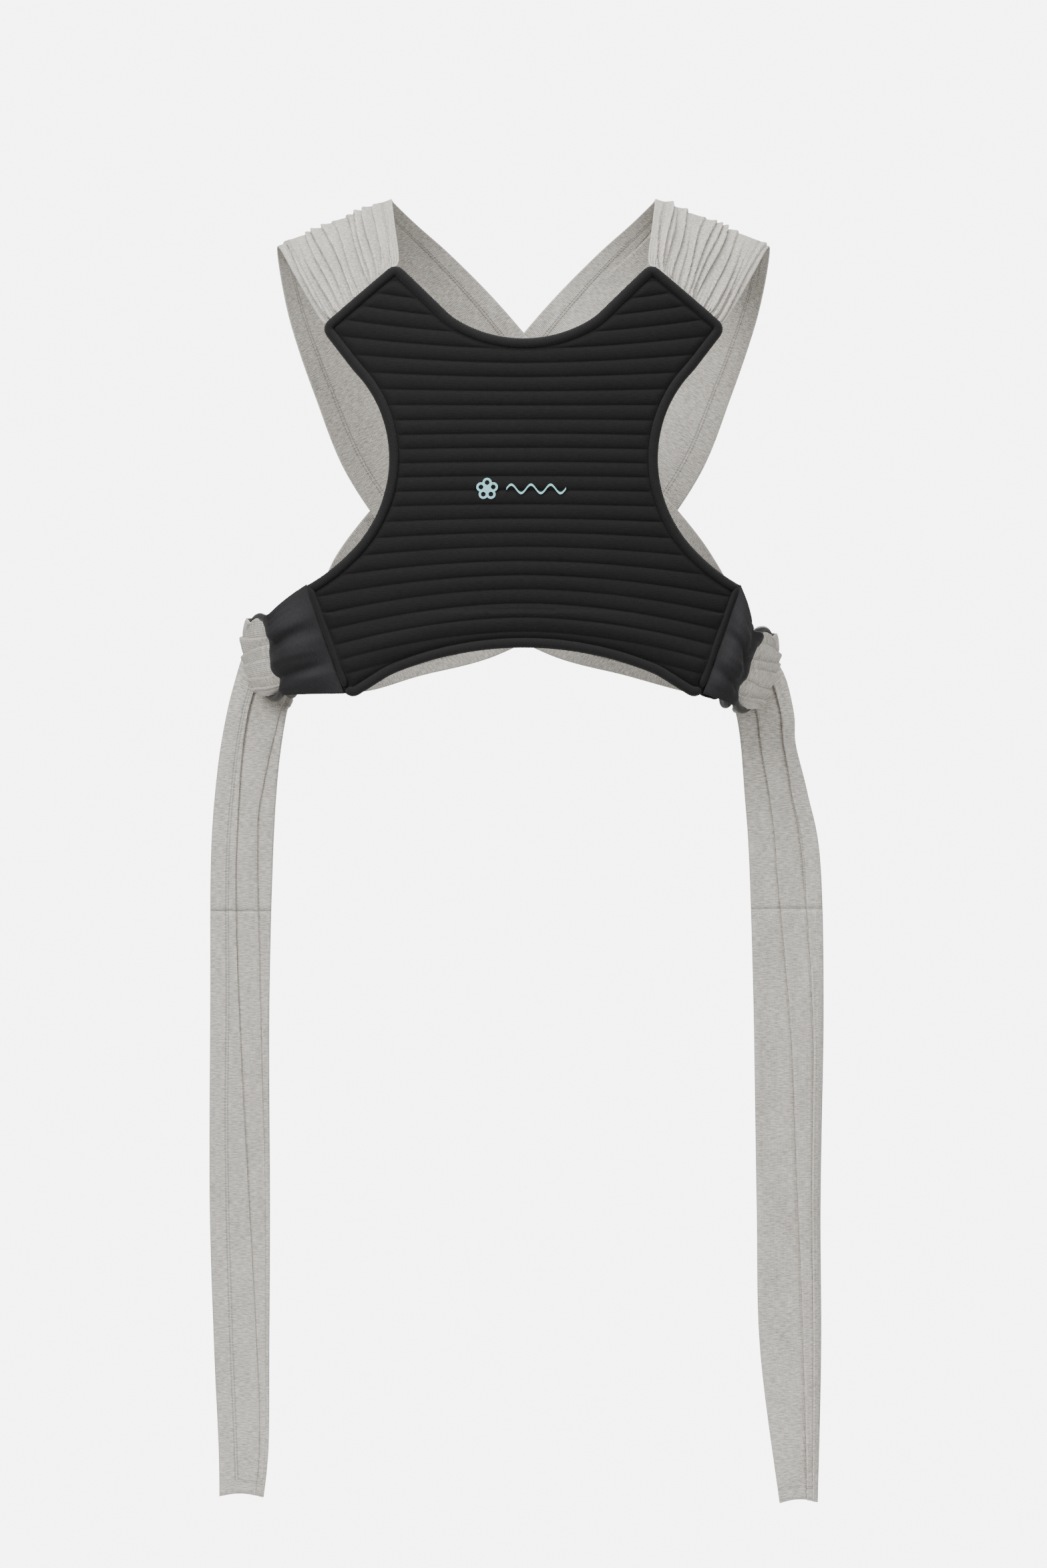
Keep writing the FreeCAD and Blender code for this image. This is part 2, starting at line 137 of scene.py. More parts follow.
def on_arch(crown, springing):
    """The point at half the span of an arc that is level at its crown."""
    half_span, rise = springing[0], abs(springing[1] - crown[1])
    radius = (half_span**2 + rise**2) / (2 * rise)
    drop = radius - math.sqrt(radius**2 - (half_span / 2) ** 2)
    return half_span / 2, crown[1] + math.copysign(drop, springing[1] - crown[1])


def half_outline(step):
    """The right half of the panel's edge as an upper run, the wing's seam, and a lower run."""
    upper = arc_through(NECK_LOW, on_arch(NECK_LOW, NECK_SIDE), NECK_SIDE, step)
    top = corner_round(NECK_SIDE, TOP_CORNER, ARM_CORNER, step)
    upper += straight(NECK_SIDE, top[0], step) + top
    arm = corner_round(TOP_CORNER, ARM_CORNER, ARM_TOP, step)
    upper += straight(top[-1], arm[0], step)[1:] + arm
    upper += straight(arm[-1], ARM_TOP, step)[1:]
    upper += arc_through(ARM_TOP, ARM_WAIST, ARM_LOW, step)
    upper += arc_through(ARM_LOW, ARM_FLARE, SEAM_TOP, step) + [np.array(SEAM_TOP)]
    low = corner_round(SEAM_TOP, SEAM_LOW, HEM_SIDE, step)
    seam = straight(SEAM_TOP, low[0], step)[1:]
    lower = low + straight(low[-1], HEM_SIDE, step)[1:]
    lower += arc_through(HEM_SIDE, on_arch(HEM_TOP, HEM_SIDE), HEM_TOP, step) + [np.array(HEM_TOP)]
    return eased(upper, (NECK_SIDE, ARM_TOP, ARM_LOW)), seam, eased(lower, (HEM_SIDE,))


def eased(run, spots):
    """The same run with its corners near the given spots drawn out into smooth curves."""
    run = np.array(run)
    spots = np.array(spots)
    gap = np.linalg.norm(run[:, None] - spots[None], axis=-1).min(axis=1)
    pull = np.exp(-((gap / EASE_REACH) ** 2))[:, None]
    pull[:2] = 0
    pull[-2:] = 0
    step = np.linalg.norm(np.diff(run, axis=0), axis=1).mean()
    for _ in range(int((EASE_SPREAD / step) ** 2)):
        middle = (run[:-2] + run[2:]) / 2
        run[1:-1] += 0.5 * pull[1:-1] * (middle - run[1:-1])
    return list(run)


def mirrored(points):
    return [np.array((-p[0], p[1])) for p in reversed(points)]


def closed_outline(step):
    upper, seam, lower = half_outline(step)
    right = upper + seam + lower
    return np.array(right + mirrored(right)[1:-1])


def smooth_step(low, high, value):
    t = np.clip((np.asarray(value, float) - low) / (high - low), 0, 1)
    return t * t * (3 - 2 * t)


def channel_line(level, x):
    """The height of the sewing line of that level at x: lifted towards the top corners, arched at the hem."""
    centre = -level * CHANNEL_PITCH
    spread = (np.abs(x) / 0.2) ** 1.8
    lift = 0.030 * smooth_step(-0.235, -0.080, centre)
    arch = -0.034 * smooth_step(-0.270, -0.450, centre)
    return centre + (lift + arch) * spread


def distance_to(points, path):
    """How far each point is from a run of straight pieces."""
    nearest = np.full(len(points), 1e9)
    for a, b in zip(path[:-1], path[1:]):
        along = b - a
        share = np.clip(((points - a) @ along) / (along @ along), 0, 1)
        nearest = np.minimum(nearest, np.linalg.norm(points - a - share[:, None] * along, axis=1))
    return nearest


def bent(x, z, depth):
    """A point of the flat pattern laid on the bent panel, so deep under its outer face."""
    y = BEND_AXIS_Y - np.sqrt((BEND_RADIUS - depth) ** 2 - x**2)
    return np.stack([x, y, z], axis=-1)


def inside(points, ring):
    """Which points lie inside a closed outline."""
    x, z = points[:, 0], points[:, 1]
    odd = np.zeros(len(points), bool)
    for (x0, z0), (x1, z1) in zip(ring, np.roll(ring, -1, axis=0)):
        crosses = (z0 > z) != (z1 > z)
        at = x0 + (z - z0) * (x1 - x0) / np.where(z1 == z0, 1e-12, z1 - z0)
        odd ^= crosses & (x < at)
    return odd


def quilt_pattern():
    """The flat pattern of the panel, with a row of points along every sewing line, and its channel relief."""
    rim = closed_outline(0.004)
    rows = []
    xs = np.arange(-0.222, 0.2221, QUILT_STEP)
    for level in range(1, 38):
        for step in CHANNEL_STEPS:
            rows.append(np.stack([xs, channel_line(level + step, xs)], axis=-1))
    points = np.concatenate(rows)
    relief = np.concatenate([np.full(len(xs), step) for _ in range(1, 38) for step in CHANNEL_STEPS])
    keep = inside(points, rim)
    points, relief = points[keep], relief[keep]
    far = distance_to(points, np.vstack([rim, rim[:1]])) > 0.0012
    points, relief = points[far], relief[far]
    everything = np.vstack([rim, points])
    edges = [(i, (i + 1) % len(rim)) for i in range(len(rim))]
    found = geometry.delaunay_2d_cdt([Vector(p) for p in everything], edges, [], 1, 1e-6)
    flat = np.array([tuple(v) for v in found[0]])
    share = np.zeros(len(flat))
    for new, old in enumerate(found[3]):
        if old and old[0] >= len(rim):
            share[new] = relief[old[0] - len(rim)]
    return flat, found[2], share


def quilt_relief(flat, share):
    """How far the cloth is pulled in: most along the sewing lines, and where the binding is sewn on."""
    upper, seam, lower = half_outline(0.004)
    bound = [np.array(mirrored(upper)[:-1] + upper), np.array(lower + mirrored(lower)[1:])]
    from_binding = np.minimum(distance_to(flat, bound[0]), distance_to(flat, bound[1]))
    sides = [np.array([SEAM_TOP, SEAM_LOW]) * (side, 1) for side in (LEFT, RIGHT)]
    from_seam = np.minimum(distance_to(flat, sides[0]), distance_to(flat, sides[1]))
    crown = (1 - np.abs(2 * share - 1) ** 2.4) ** 0.8
    crown *= smooth_step(0.008, 0.016, from_binding) * smooth_step(0.006, 0.011, from_seam)
    rumple = np.array([noise.noise(Vector((p[0] * 16, p[1] * 40, 3.1))) for p in flat]) * 0.0006
    pressed = 0.0016 * (1 - smooth_step(0.006, 0.013, from_binding))
    hem_roll = 0.0022 * np.exp(-(((from_binding - 0.030) / 0.014) ** 2)) * (flat[:, 1] < -0.40)
    return CHANNEL_DEPTH * (1 - crown) + rumple * crown + pressed - hem_roll


def closed_slab(name, flat, faces, outer, inner):
    """A closed mesh between two depths under the panel's outer face."""
    count = len(flat)
    x, z = flat[:, 0], flat[:, 1]
    verts = np.vstack([bent(x, z, outer), bent(x, z, inner)])
    used = {}
    for face in faces:
        for a, b in zip(face, face[1:] + face[:1]):
            used[(a, b)] = used.get((a, b), 0) + 1
    rim = [(a, b) for a, b in used if (b, a) not in used]
    front = [tuple(face) for face in faces]
    back = [tuple(i + count for i in reversed(face)) for face in faces]
    sides = [(b, a, a + count, b + count) for a, b in rim]
    cloth = np.concatenate([np.stack([x, z, np.zeros(count)], axis=-1)] * 2)
    return new_piece(name, verts, front + back + sides, cloth)


def new_piece(name, verts, faces, cloth):
    """A smooth-shaded object; cloth says where each point lies on the flat cloth, in metres."""
    mesh = bpy.data.meshes.new(name)
    mesh.from_pydata([tuple(v) for v in verts], [], faces)
    mesh.validate()
    layer = mesh.attributes.new("cloth", "FLOAT_VECTOR", "POINT")
    if len(layer.data) == len(cloth):
        layer.data.foreach_set("vector", np.asarray(cloth, np.float32).ravel())
    mesh.shade_smooth()
    piece = bpy.data.objects.new(name, mesh)
    bpy.context.scene.collection.objects.link(piece)
    return piece


class Shader:
    """Short ways to add and join nodes in a tree."""

    def __init__(self, tree):
        self.tree = tree

    def add(self, kind, values=None, **settings):
        node = self.tree.nodes.new(kind)
        for key, value in settings.items():
            setattr(node, key, value)
        for key, value in (values or {}).items():
            if isinstance(value, bpy.types.NodeSocket):
                self.tree.links.new(value, node.inputs[key])
            else:
                node.inputs[key].default_value = value
        return node

    def math(self, operation, a, b=0.0, c=0.0):
        return self.add("ShaderNodeMath", {0: a, 1: b, 2: c}, operation=operation).outputs[0]

    def mix(self, share, a, b):
        return self.add("ShaderNodeMix", {0: share, 6: a, 7: b}, data_type="RGBA").outputs[2]

    def ramp(self, value, low, high):
        values = {"Value": value, "From Min": low, "From Max": high}
        return self.add("ShaderNodeMapRange", values, interpolation_type="SMOOTHSTEP").outputs[0]

    def noise(self, vector, scale, detail=3.0, roughness=0.55):
        values = {"Vector": vector, "Scale": scale, "Detail": detail, "Roughness": roughness}
        return self.add("ShaderNodeTexNoise", values).outputs[0]


def new_group(name, inputs, outputs):
    """An empty node group with named float, colour and vector sockets."""
    tree = bpy.data.node_groups.new(name, "ShaderNodeTree")
    for label, kind, value in inputs:
        socket = tree.interface.new_socket(label, in_out="INPUT", socket_type=kind)
        if value is not None:
            socket.default_value = value
    for label, kind in outputs:
        tree.interface.new_socket(label, in_out="OUTPUT", socket_type=kind)
    return tree, tree.nodes.new("NodeGroupInput").outputs, tree.nodes.new("NodeGroupOutput").inputs


def knit_group():
    """Jersey: fine ribs along the cloth, stitch rows across it, and the slubs of an uneven yarn."""
    inputs = [
        ("Cloth", "NodeSocketVector", None),
        ("Rib Pitch", "NodeSocketFloat", 0.0014),
        ("Slub", "NodeSocketFloat", 0.5),
    ]
    outputs = [("Height", "NodeSocketFloat"), ("Melange", "NodeSocketFloat")]
    tree, given, result = new_group("jersey knit", inputs, outputs)
    s = Shader(tree)
    parts = s.add("ShaderNodeSeparateXYZ", {0: given["Cloth"]}).outputs
    turns = s.math("DIVIDE", parts[0], given["Rib Pitch"])
    wander = s.noise(given["Cloth"], 60.0, 2.0)
    rib = s.math("SINE", s.math("MULTIPLY_ADD", turns, 6.2832, s.math("MULTIPLY", wander, 5.0)))
    rows = s.math("SINE", s.math("MULTIPLY", s.math("DIVIDE", parts[1], given["Rib Pitch"]), 7.9))
    across = s.add("ShaderNodeVectorMath", {0: given["Cloth"], 1: SLUB_SCALE}, operation="MULTIPLY").outputs[0]
    slub = s.noise(across, 1.0, 4.0, 0.6)
    grain = s.noise(given["Cloth"], 1700.0, 2.0)
    height = s.math("MULTIPLY_ADD", rib, 0.3, s.math("MULTIPLY", rows, 0.12))
    height = s.math("ADD", height, s.math("MULTIPLY", grain, 0.5))
    height = s.math("MULTIPLY_ADD", s.math("MULTIPLY", slub, given["Slub"]), 1.4, height)
    tree.links.new(height, result["Height"])
    blotch = s.noise(given["Cloth"], 26.0, 3.0)
    melange = s.math("MULTIPLY_ADD", s.ramp(slub, 0.36, 0.64), 0.62, s.math("MULTIPLY", blotch, 0.38))
    tree.links.new(melange, result["Melange"])
    return tree


def stitch_group():
    """A dashed sewing line at one distance along the third cloth coordinate."""
    inputs = [
        ("Cloth", "NodeSocketVector", None),
        ("Line", "NodeSocketFloat", 0.018),
        ("Width", "NodeSocketFloat", 0.0009),
        ("Stitch", "NodeSocketFloat", 0.0032),
    ]
    tree, given, result = new_group("sewing line", inputs, [("Mask", "NodeSocketFloat")])
    s = Shader(tree)
    parts = s.add("ShaderNodeSeparateXYZ", {0: given["Cloth"]}).outputs
    off = s.math("ABSOLUTE", s.math("SUBTRACT", parts[2], given["Line"]))
    near = s.math("SUBTRACT", 1.0, s.ramp(s.math("DIVIDE", off, given["Width"]), 0.35, 1.0))
    dash = s.math("PINGPONG", s.math("DIVIDE", parts[1], given["Stitch"]), 0.5)
    tree.links.new(s.math("MULTIPLY", near, s.ramp(dash, 0.08, 0.2)), result["Mask"])
    return tree


knit = knit_group()
sewing_line = stitch_group()


def new_material(name):
    """A material that holds only a Principled shader and its output."""
    material = bpy.data.materials.new(name)
    material.use_nodes = True
    return material, Shader(material.node_tree), material.node_tree.nodes["Principled BSDF"]


def jersey_material(name, dark, light, rib_pitch, slub, bump, roughness=0.9, sheen=0.15, hem=()):
    """Knitted cotton in two tones, with an optional pair of sewing lines that run beside the hems."""
    material, s, shader = new_material(name)
    cloth = s.add("ShaderNodeAttribute", attribute_name="cloth").outputs["Vector"]
    cells = s.add("ShaderNodeGroup", node_tree=knit)
    cells.inputs["Rib Pitch"].default_value = rib_pitch
    cells.inputs["Slub"].default_value = slub
    s.tree.links.new(cloth, cells.inputs["Cloth"])
    colour = s.mix(cells.outputs["Melange"], (*dark, 1), (*light, 1))
    height = cells.outputs["Height"]
    for line in hem:
        sewn = s.add("ShaderNodeGroup", node_tree=sewing_line)
        sewn.inputs["Line"].default_value = line
        s.tree.links.new(cloth, sewn.inputs["Cloth"])
        mask = sewn.outputs["Mask"]
        colour = s.mix(s.math("MULTIPLY", mask, 0.35), colour, (*[c * 0.45 for c in dark], 1))
        height = s.math("SUBTRACT", height, s.math("MULTIPLY", mask, 1.6))
    lifted = s.add("ShaderNodeBump", {"Height": height, "Strength": 0.8, "Distance": bump})
    s.tree.links.new(colour, shader.inputs["Base Color"])
    s.tree.links.new(lifted.outputs[0], shader.inputs["Normal"])
    shader.inputs["Roughness"].default_value = roughness
    shader.inputs["Sheen Weight"].default_value = sheen
    shader.inputs["Sheen Roughness"].default_value = 0.5
    shader.inputs["Specular IOR Level"].default_value = 0.25
    return material


def dress(piece, material, body, nodes=()):
    """Gives a piece its material and its body, and hides the CAD nodes that it stands for."""
    piece.data.materials.clear()
    piece.data.materials.append(material)
    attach(piece, body)
    if nodes:
        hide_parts(*nodes)


quilt_flat, quilt_faces, quilt_share = quilt_pattern()
relief = quilt_relief(quilt_flat, quilt_share)
pad_back = np.full(len(quilt_flat), PANEL_THICK - 0.0028)
quilted_front = closed_slab("quilted_front_pad", quilt_flat, quilt_faces, relief, pad_back)
quilt_jersey = jersey_material(
    "black quilted jersey", QUILT_BLACK, (0.0085, 0.0080, 0.0080), 0.0011, 0.4, 0.0003, 0.9, 0.03
)
dress(quilted_front, quilt_jersey, "carrier", ("quilted_front", "padding"))

# ------------------------------------------------------------------------------------------------
# The lining
# The same jersey on the baby's side, pulled in along the same sewing lines as the front.
# ------------------------------------------------------------------------------------------------
lining_face = PANEL_THICK - 0.7 * relief
lining_outer = np.full(len(quilt_flat), PANEL_THICK - 0.0026)
lining = closed_slab("lining_cloth", quilt_flat, quilt_faces, lining_outer, lining_face)
dress(lining, quilt_jersey, "carrier", ("lining",))

# ------------------------------------------------------------------------------------------------
# The rolled bindings
# A strip of the same jersey wrapped over a soft cord, coloured lighter than the panel as a painted highlight on the
# rolls. One runs from wing to wing along the armholes, top corners and neckline, the other along the arched hem,
# and a thin one covers each wing's seam.
# ------------------------------------------------------------------------------------------------
BINDING_WIDTH = 0.0098
BINDING_PROUD = 0.0009
BINDING_SIDES = 20
BINDING_STEP = 0.0022
PUCKER_PITCH = 0.0075
SEAM_ROLL_WIDTH = 0.0075


def evenly(points, step):
    """The same run of points, resampled at even steps."""
    points = np.asarray(points, float)
    lengths = np.concatenate([[0], np.cumsum(np.linalg.norm(np.diff(points, axis=0), axis=1))])
    count = max(2, int(round(lengths[-1] / step)) + 1)
    at = np.linspace(0, lengths[-1], count)
    return np.stack([np.interp(at, lengths, points[:, k]) for k in range(points.shape[1])], axis=-1)


def inward_of(path):
    """Unit normals of a flat run of points that turn into the panel."""
    along = np.gradient(path, axis=0)
    along /= np.linalg.norm(along, axis=1)[:, None]
    return np.stack([along[:, 1], -along[:, 0]], axis=-1)


def rolled_binding(name, edge, width, seed):
    """A soft tube along the panel's edge; its outer side lies on the edge and it wraps both faces."""
    path = evenly(edge, BINDING_STEP)
    for _ in range(2):
        path[1:-1] = (path[:-2] + 2 * path[1:-1] + path[2:]) / 4
    inward = inward_of(path)
    count = len(path)
    length = np.arange(count) * BINDING_STEP
    verts, cloth = [], []
    for i in range(count):
        end = min(i, count - 1 - i)
        taper = math.sqrt(1 - (1 - min(end / 4.0, 1.0)) ** 2) * 0.999 + 0.001
        pucker = 0.35 * noise.noise(Vector((length[i] / PUCKER_PITCH, seed, 0)))
        pucker += 0.25 * noise.noise(Vector((length[i] / (3.7 * PUCKER_PITCH), seed, 5)))
        half_in = width / 2 * (1 + 0.10 * pucker) * taper
        half_deep = (PANEL_THICK / 2 + BINDING_PROUD) * (1 + 0.09 * pucker) * taper
        middle = path[i] + inward[i] * width / 2
        for k in range(BINDING_SIDES):
            turn = 2 * math.pi * k / BINDING_SIDES
            c, d = math.cos(turn), math.sin(turn)
            across = math.copysign(abs(c) ** 0.85, c) * half_in
            deep = math.copysign(abs(d) ** 0.75, d) * half_deep
            x, z = middle + inward[i] * across
            verts.append(bent(np.array(x), np.array(z), PANEL_THICK / 2 + deep))
            cloth.append((k / BINDING_SIDES * 0.034, length[i], 1.0))
    faces = []
    for i in range(count - 1):
        for k in range(BINDING_SIDES):
            a, b = i * BINDING_SIDES + k, i * BINDING_SIDES + (k + 1) % BINDING_SIDES
            faces.append((a, b, b + BINDING_SIDES, a + BINDING_SIDES))
    faces.append(tuple(range(BINDING_SIDES))[::-1])
    faces.append(tuple(range((count - 1) * BINDING_SIDES, count * BINDING_SIDES)))
    return outward(new_piece(name, verts, faces, cloth))


def outward(piece):
    """Turns every face of a closed mesh to look out of it."""
    mesh = bmesh.new()
    mesh.from_mesh(piece.data)
    bmesh.ops.recalc_face_normals(mesh, faces=mesh.faces)
    mesh.to_mesh(piece.data)
    mesh.free()
    return piece


STITCH_LENGTH = 0.0034
STITCH_HALF = 0.00045
STITCH_DEPTH = 0.0026


def sewn_seam(name, edge, inset, seed):
    """The stitches that sink into the groove beside a rolled binding, as short soft dashes."""
    rng = np.random.default_rng(seed)
    path = evenly(edge, STITCH_LENGTH)
    inward = inward_of(path)
    verts, faces, cloth = [], [], []
    for i in range(1, len(path) - 2):
        a = path[i] + inward[i] * (inset + rng.normal(0, 0.0002))
        b = path[i] + (path[i + 1] - path[i]) * 0.62 + inward[i] * (inset + rng.normal(0, 0.0002))
        side = inward[i] * STITCH_HALF
        corners = [a - side, a + side, b + side, b - side]
        start = len(verts)
        for depth in (STITCH_DEPTH, STITCH_DEPTH + 0.0012):
            for x, z in corners:
                verts.append(bent(np.array(x), np.array(z), depth))
                cloth.append((x, z, 1.0))
        faces += [tuple(start + k for k in face) for face in BOX_FACES]
    return outward(new_piece(name, verts, faces, cloth))

BOX_FACES = ((0, 1, 2, 3), (7, 6, 5, 4), (0, 4, 5, 1), (1, 5, 6, 2), (2, 6, 7, 3), (3, 7, 4, 0))

# The panel's jersey in lighter tones: the lift is a painted highlight on the rolled bindings.
highlit_binding_jersey = jersey_material(
    "black rolled jersey with painted highlight", (0.0052, 0.0050, 0.0052), (0.0105, 0.0100, 0.0105), 0.0010, 0.3, 0.0003, 0.85, 0.04
)
thread_black, _, thread_shader = new_material("black thread")
thread_shader.inputs["Base Color"].default_value = (0.006, 0.006, 0.006, 1)
thread_shader.inputs["Roughness"].default_value = 0.8

upper_half, seam_half, lower_half = half_outline(BINDING_STEP)
upper_edge = mirrored(upper_half)[:-1] + upper_half
lower_edge = lower_half + mirrored(lower_half)[1:]
seam_edge = [upper_half[-1]] + seam_half + [lower_half[0]]
upper_binding = rolled_binding("upper_binding_roll", upper_edge, BINDING_WIDTH, 1.7)
dress(upper_binding, highlit_binding_jersey, "carrier", ("upper_binding", "upper_binding_filler"))
lower_binding = rolled_binding("lower_binding_roll", lower_edge, BINDING_WIDTH, 4.2)
dress(lower_binding, highlit_binding_jersey, "carrier", ("lower_binding", "lower_binding_filler"))
for name, edge, seed in (("upper_binding_stitches", upper_edge, 11), ("lower_binding_stitches", lower_edge, 12)):
    dress(sewn_seam(name, edge, BINDING_WIDTH + 0.0012, seed), thread_black, "carrier")

# ------------------------------------------------------------------------------------------------
# The embroidery and the care label
# Raised satin stitch in turquoise thread, a flower and a wave, and a blank woven label at the back.
# ------------------------------------------------------------------------------------------------
TURQUOISE = (0.29, 0.66, 0.70)
LABEL_WHITE = (0.70, 0.69, 0.66)

thread, thread_nodes, thread_shader = new_material("turquoise thread")
spot = thread_nodes.add("ShaderNodeTexCoord").outputs["Object"]
THREAD_SCALE = (2600.0, 400.0, 500.0)
strands = thread_nodes.add("ShaderNodeVectorMath", {0: spot, 1: THREAD_SCALE}, operation="MULTIPLY").outputs[0]
ply = thread_nodes.noise(strands, 1.0, 2.0)
thread_dark = (*[c * 0.72 for c in TURQUOISE], 1)
thread_light = (*[min(1, c * 1.18) for c in TURQUOISE], 1)
thread_colour = thread_nodes.mix(ply, thread_dark, thread_light)
thread_nodes.tree.links.new(thread_colour, thread_shader.inputs["Base Color"])
thread_bump = thread_nodes.add("ShaderNodeBump", {"Height": ply, "Strength": 0.9, "Distance": 0.0003})
thread_nodes.tree.links.new(thread_bump.outputs[0], thread_shader.inputs["Normal"])
thread_shader.inputs["Roughness"].default_value = 0.45
thread_shader.inputs["Sheen Weight"].default_value = 0.3

for name in ("emblem",):
    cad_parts[name].data.materials.clear()
    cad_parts[name].data.materials.append(thread)

label_material, label_nodes, label_shader = new_material("woven label")
label_spot = label_nodes.add("ShaderNodeTexCoord").outputs["Object"]
label_weave = label_nodes.noise(label_spot, 900.0, 2.0)
label_tone = label_nodes.mix(label_weave, (*[c * 0.85 for c in LABEL_WHITE], 1), (*LABEL_WHITE, 1))
label_nodes.tree.links.new(label_tone, label_shader.inputs["Base Color"])
label_shader.inputs["Roughness"].default_value = 0.45
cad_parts["care_label"].data.materials.clear()
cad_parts["care_label"].data.materials.append(label_material)

# ------------------------------------------------------------------------------------------------
# The sling rings
# Moulded nylon rings in satin black, a pair at each hip, opened like a book by the strap between
# them. A faint parting line runs round the bar where the mould closes.
# ------------------------------------------------------------------------------------------------
RING_RADIUS = 0.042
BAR_RADIUS = 0.004
RING_SPACING = 0.009
RING_SPLAY = math.radians(5)
RING_YAW = math.radians(72)
RING_CENTRE = {LEFT: (-0.252, -0.015, -0.441), RIGHT: (0.2245, -0.015, -0.4525)}
RING_TILT = {LEFT: math.radians(12.5), RIGHT: math.radians(17)}
RING_HINGE = RING_RADIUS + BAR_RADIUS
RING_TURNS, BAR_TURNS = 120, 28


def ring_frame(side):
    """The ring's own directions: r towards the panel, t up the ring, n out of its face; and its centre."""
    yaw, tilt = RING_YAW, RING_TILT[side] * side
    lean = np.array([[math.cos(tilt), 0, math.sin(tilt)], [0, 1, 0], [-math.sin(tilt), 0, math.cos(tilt)]])
    r = lean @ (-side * math.cos(yaw), -math.sin(yaw), 0)
    n = lean @ (side * math.sin(yaw), -math.cos(yaw), 0)
    return np.array([r, lean @ (0, 0, 1), n]), np.array(RING_CENTRE[side])


def from_ring(side, points):
    """Ring-local (r, t, n) points in the carrier's own directions."""
    axes, centre = ring_frame(side)
    return np.asarray(points) @ axes + centre


def opened(points, face, splay=RING_SPLAY):
    """Ring-local points moved to one ring of the pair: spaced apart, and turned about the near bars."""
    p = np.array(points, float) + (0, 0, face * RING_SPACING / 2)
    c, d = math.cos(face * splay), math.sin(face * splay)
    r, n = p[..., 0] - RING_HINGE, p[..., 2]
    return np.stack([RING_HINGE + r * c + n * d, p[..., 1], -r * d + n * c], axis=-1)


def grid_faces(rows, columns, wrap_rows=False, wrap_columns=False):
    """Quads over a grid of points, closed on itself where asked."""
    faces = []
    for i in range(rows if wrap_rows else rows - 1):
        for j in range(columns if wrap_columns else columns - 1):
            a, b = i * columns + j, i * columns + (j + 1) % columns
            c, d = ((i + 1) % rows) * columns + (j + 1) % columns, ((i + 1) % rows) * columns + j
            faces.append((a, b, c, d))
    return faces


def sling_ring(name, side, face):
    turns = np.linspace(0, 2 * np.pi, RING_TURNS, endpoint=False)
    arounds = np.linspace(0, 2 * np.pi, BAR_TURNS, endpoint=False)
    turn, around = np.meshgrid(turns, arounds, indexing="ij")
    bar = BAR_RADIUS * (1 + 0.02 * np.exp(-((np.sin(around) / 0.10) ** 2)) - 0.03 * np.cos(around) ** 8)
    radius = RING_RADIUS + bar * np.cos(around)
    local = np.stack([radius * np.cos(turn), radius * np.sin(turn), bar * np.sin(around)], axis=-1)
    verts = from_ring(side, opened(local, face)).reshape(-1, 3)
    cloth = np.stack([turn * RING_RADIUS, around * BAR_RADIUS, turn], axis=-1).reshape(-1, 3)
    return outward(new_piece(name, verts, grid_faces(RING_TURNS, BAR_TURNS, True, True), cloth))


ring_nylon, ring_nodes, ring_shader = new_material("satin black nylon")
ring_spot = ring_nodes.add("ShaderNodeTexCoord").outputs["Object"]
ring_haze = ring_nodes.noise(ring_spot, 55.0, 4.0)
ring_grain = ring_nodes.noise(ring_spot, 1500.0, 2.0)
ring_tone = ring_nodes.mix(ring_haze, (0.004, 0.004, 0.0042, 1), (0.010, 0.010, 0.0105, 1))
ring_nodes.tree.links.new(ring_tone, ring_shader.inputs["Base Color"])
ring_rough = ring_nodes.add("ShaderNodeMapRange", {"Value": ring_haze, "To Min": 0.27, "To Max": 0.42}).outputs[0]
ring_nodes.tree.links.new(ring_rough, ring_shader.inputs["Roughness"])
ring_bump = ring_nodes.add("ShaderNodeBump", {"Height": ring_grain, "Strength": 0.35, "Distance": 0.00006})
ring_nodes.tree.links.new(ring_bump.outputs[0], ring_shader.inputs["Normal"])
for side in (LEFT, RIGHT):
    hip = SIDE_NAME[side]
    front = sling_ring(f"{hip}_front_sling_ring", side, 1)
    dress(front, ring_nylon, f"{hip}_front_ring", (f"{hip}_front_ring",))
    back = sling_ring(f"{hip}_back_sling_ring", side, -1)
    dress(back, ring_nylon, f"{hip}_wing", (f"{hip}_back_ring",))

# ------------------------------------------------------------------------------------------------
# The wings
# Smooth stretch jersey with a slight sheen. Each is sewn to the panel's side, passes over the near
# bars of both rings, folds through them, and comes back behind to the same seam.
# ------------------------------------------------------------------------------------------------
WING_ROWS, WING_COLUMNS = 110, 72
WING_SEAM_THICK = 0.0030
WING_TOP = {LEFT: 0.040, RIGHT: 0.036}  # how far the wing reaches up and down the rings from their middle
WING_LOW = {LEFT: 0.042, RIGHT: 0.041}
WING_EDGE = {
    # height on the rings, how far the fold's edge draws in towards the panel
    LEFT: (
        (-0.042, 0.0075), (-0.036, 0.0045), (-0.027, 0.0055), (-0.019, 0.001), (-0.010, -0.001), (0.0, -0.0005),
        (0.010, 0.001), (0.022, 0.0050), (0.030, 0.0030), (0.036, 0.0010), (0.042, 0.0035),
    ),
    RIGHT: ((-0.042, 0.0040), (-0.030, 0.0050), (-0.018, 0.0030), (-0.006, 0.0010), (0.006, -0.0005), (0.016, 0.0),
            (0.024, 0.0005), (0.032, -0.0040), (0.040, -0.0035)),
}


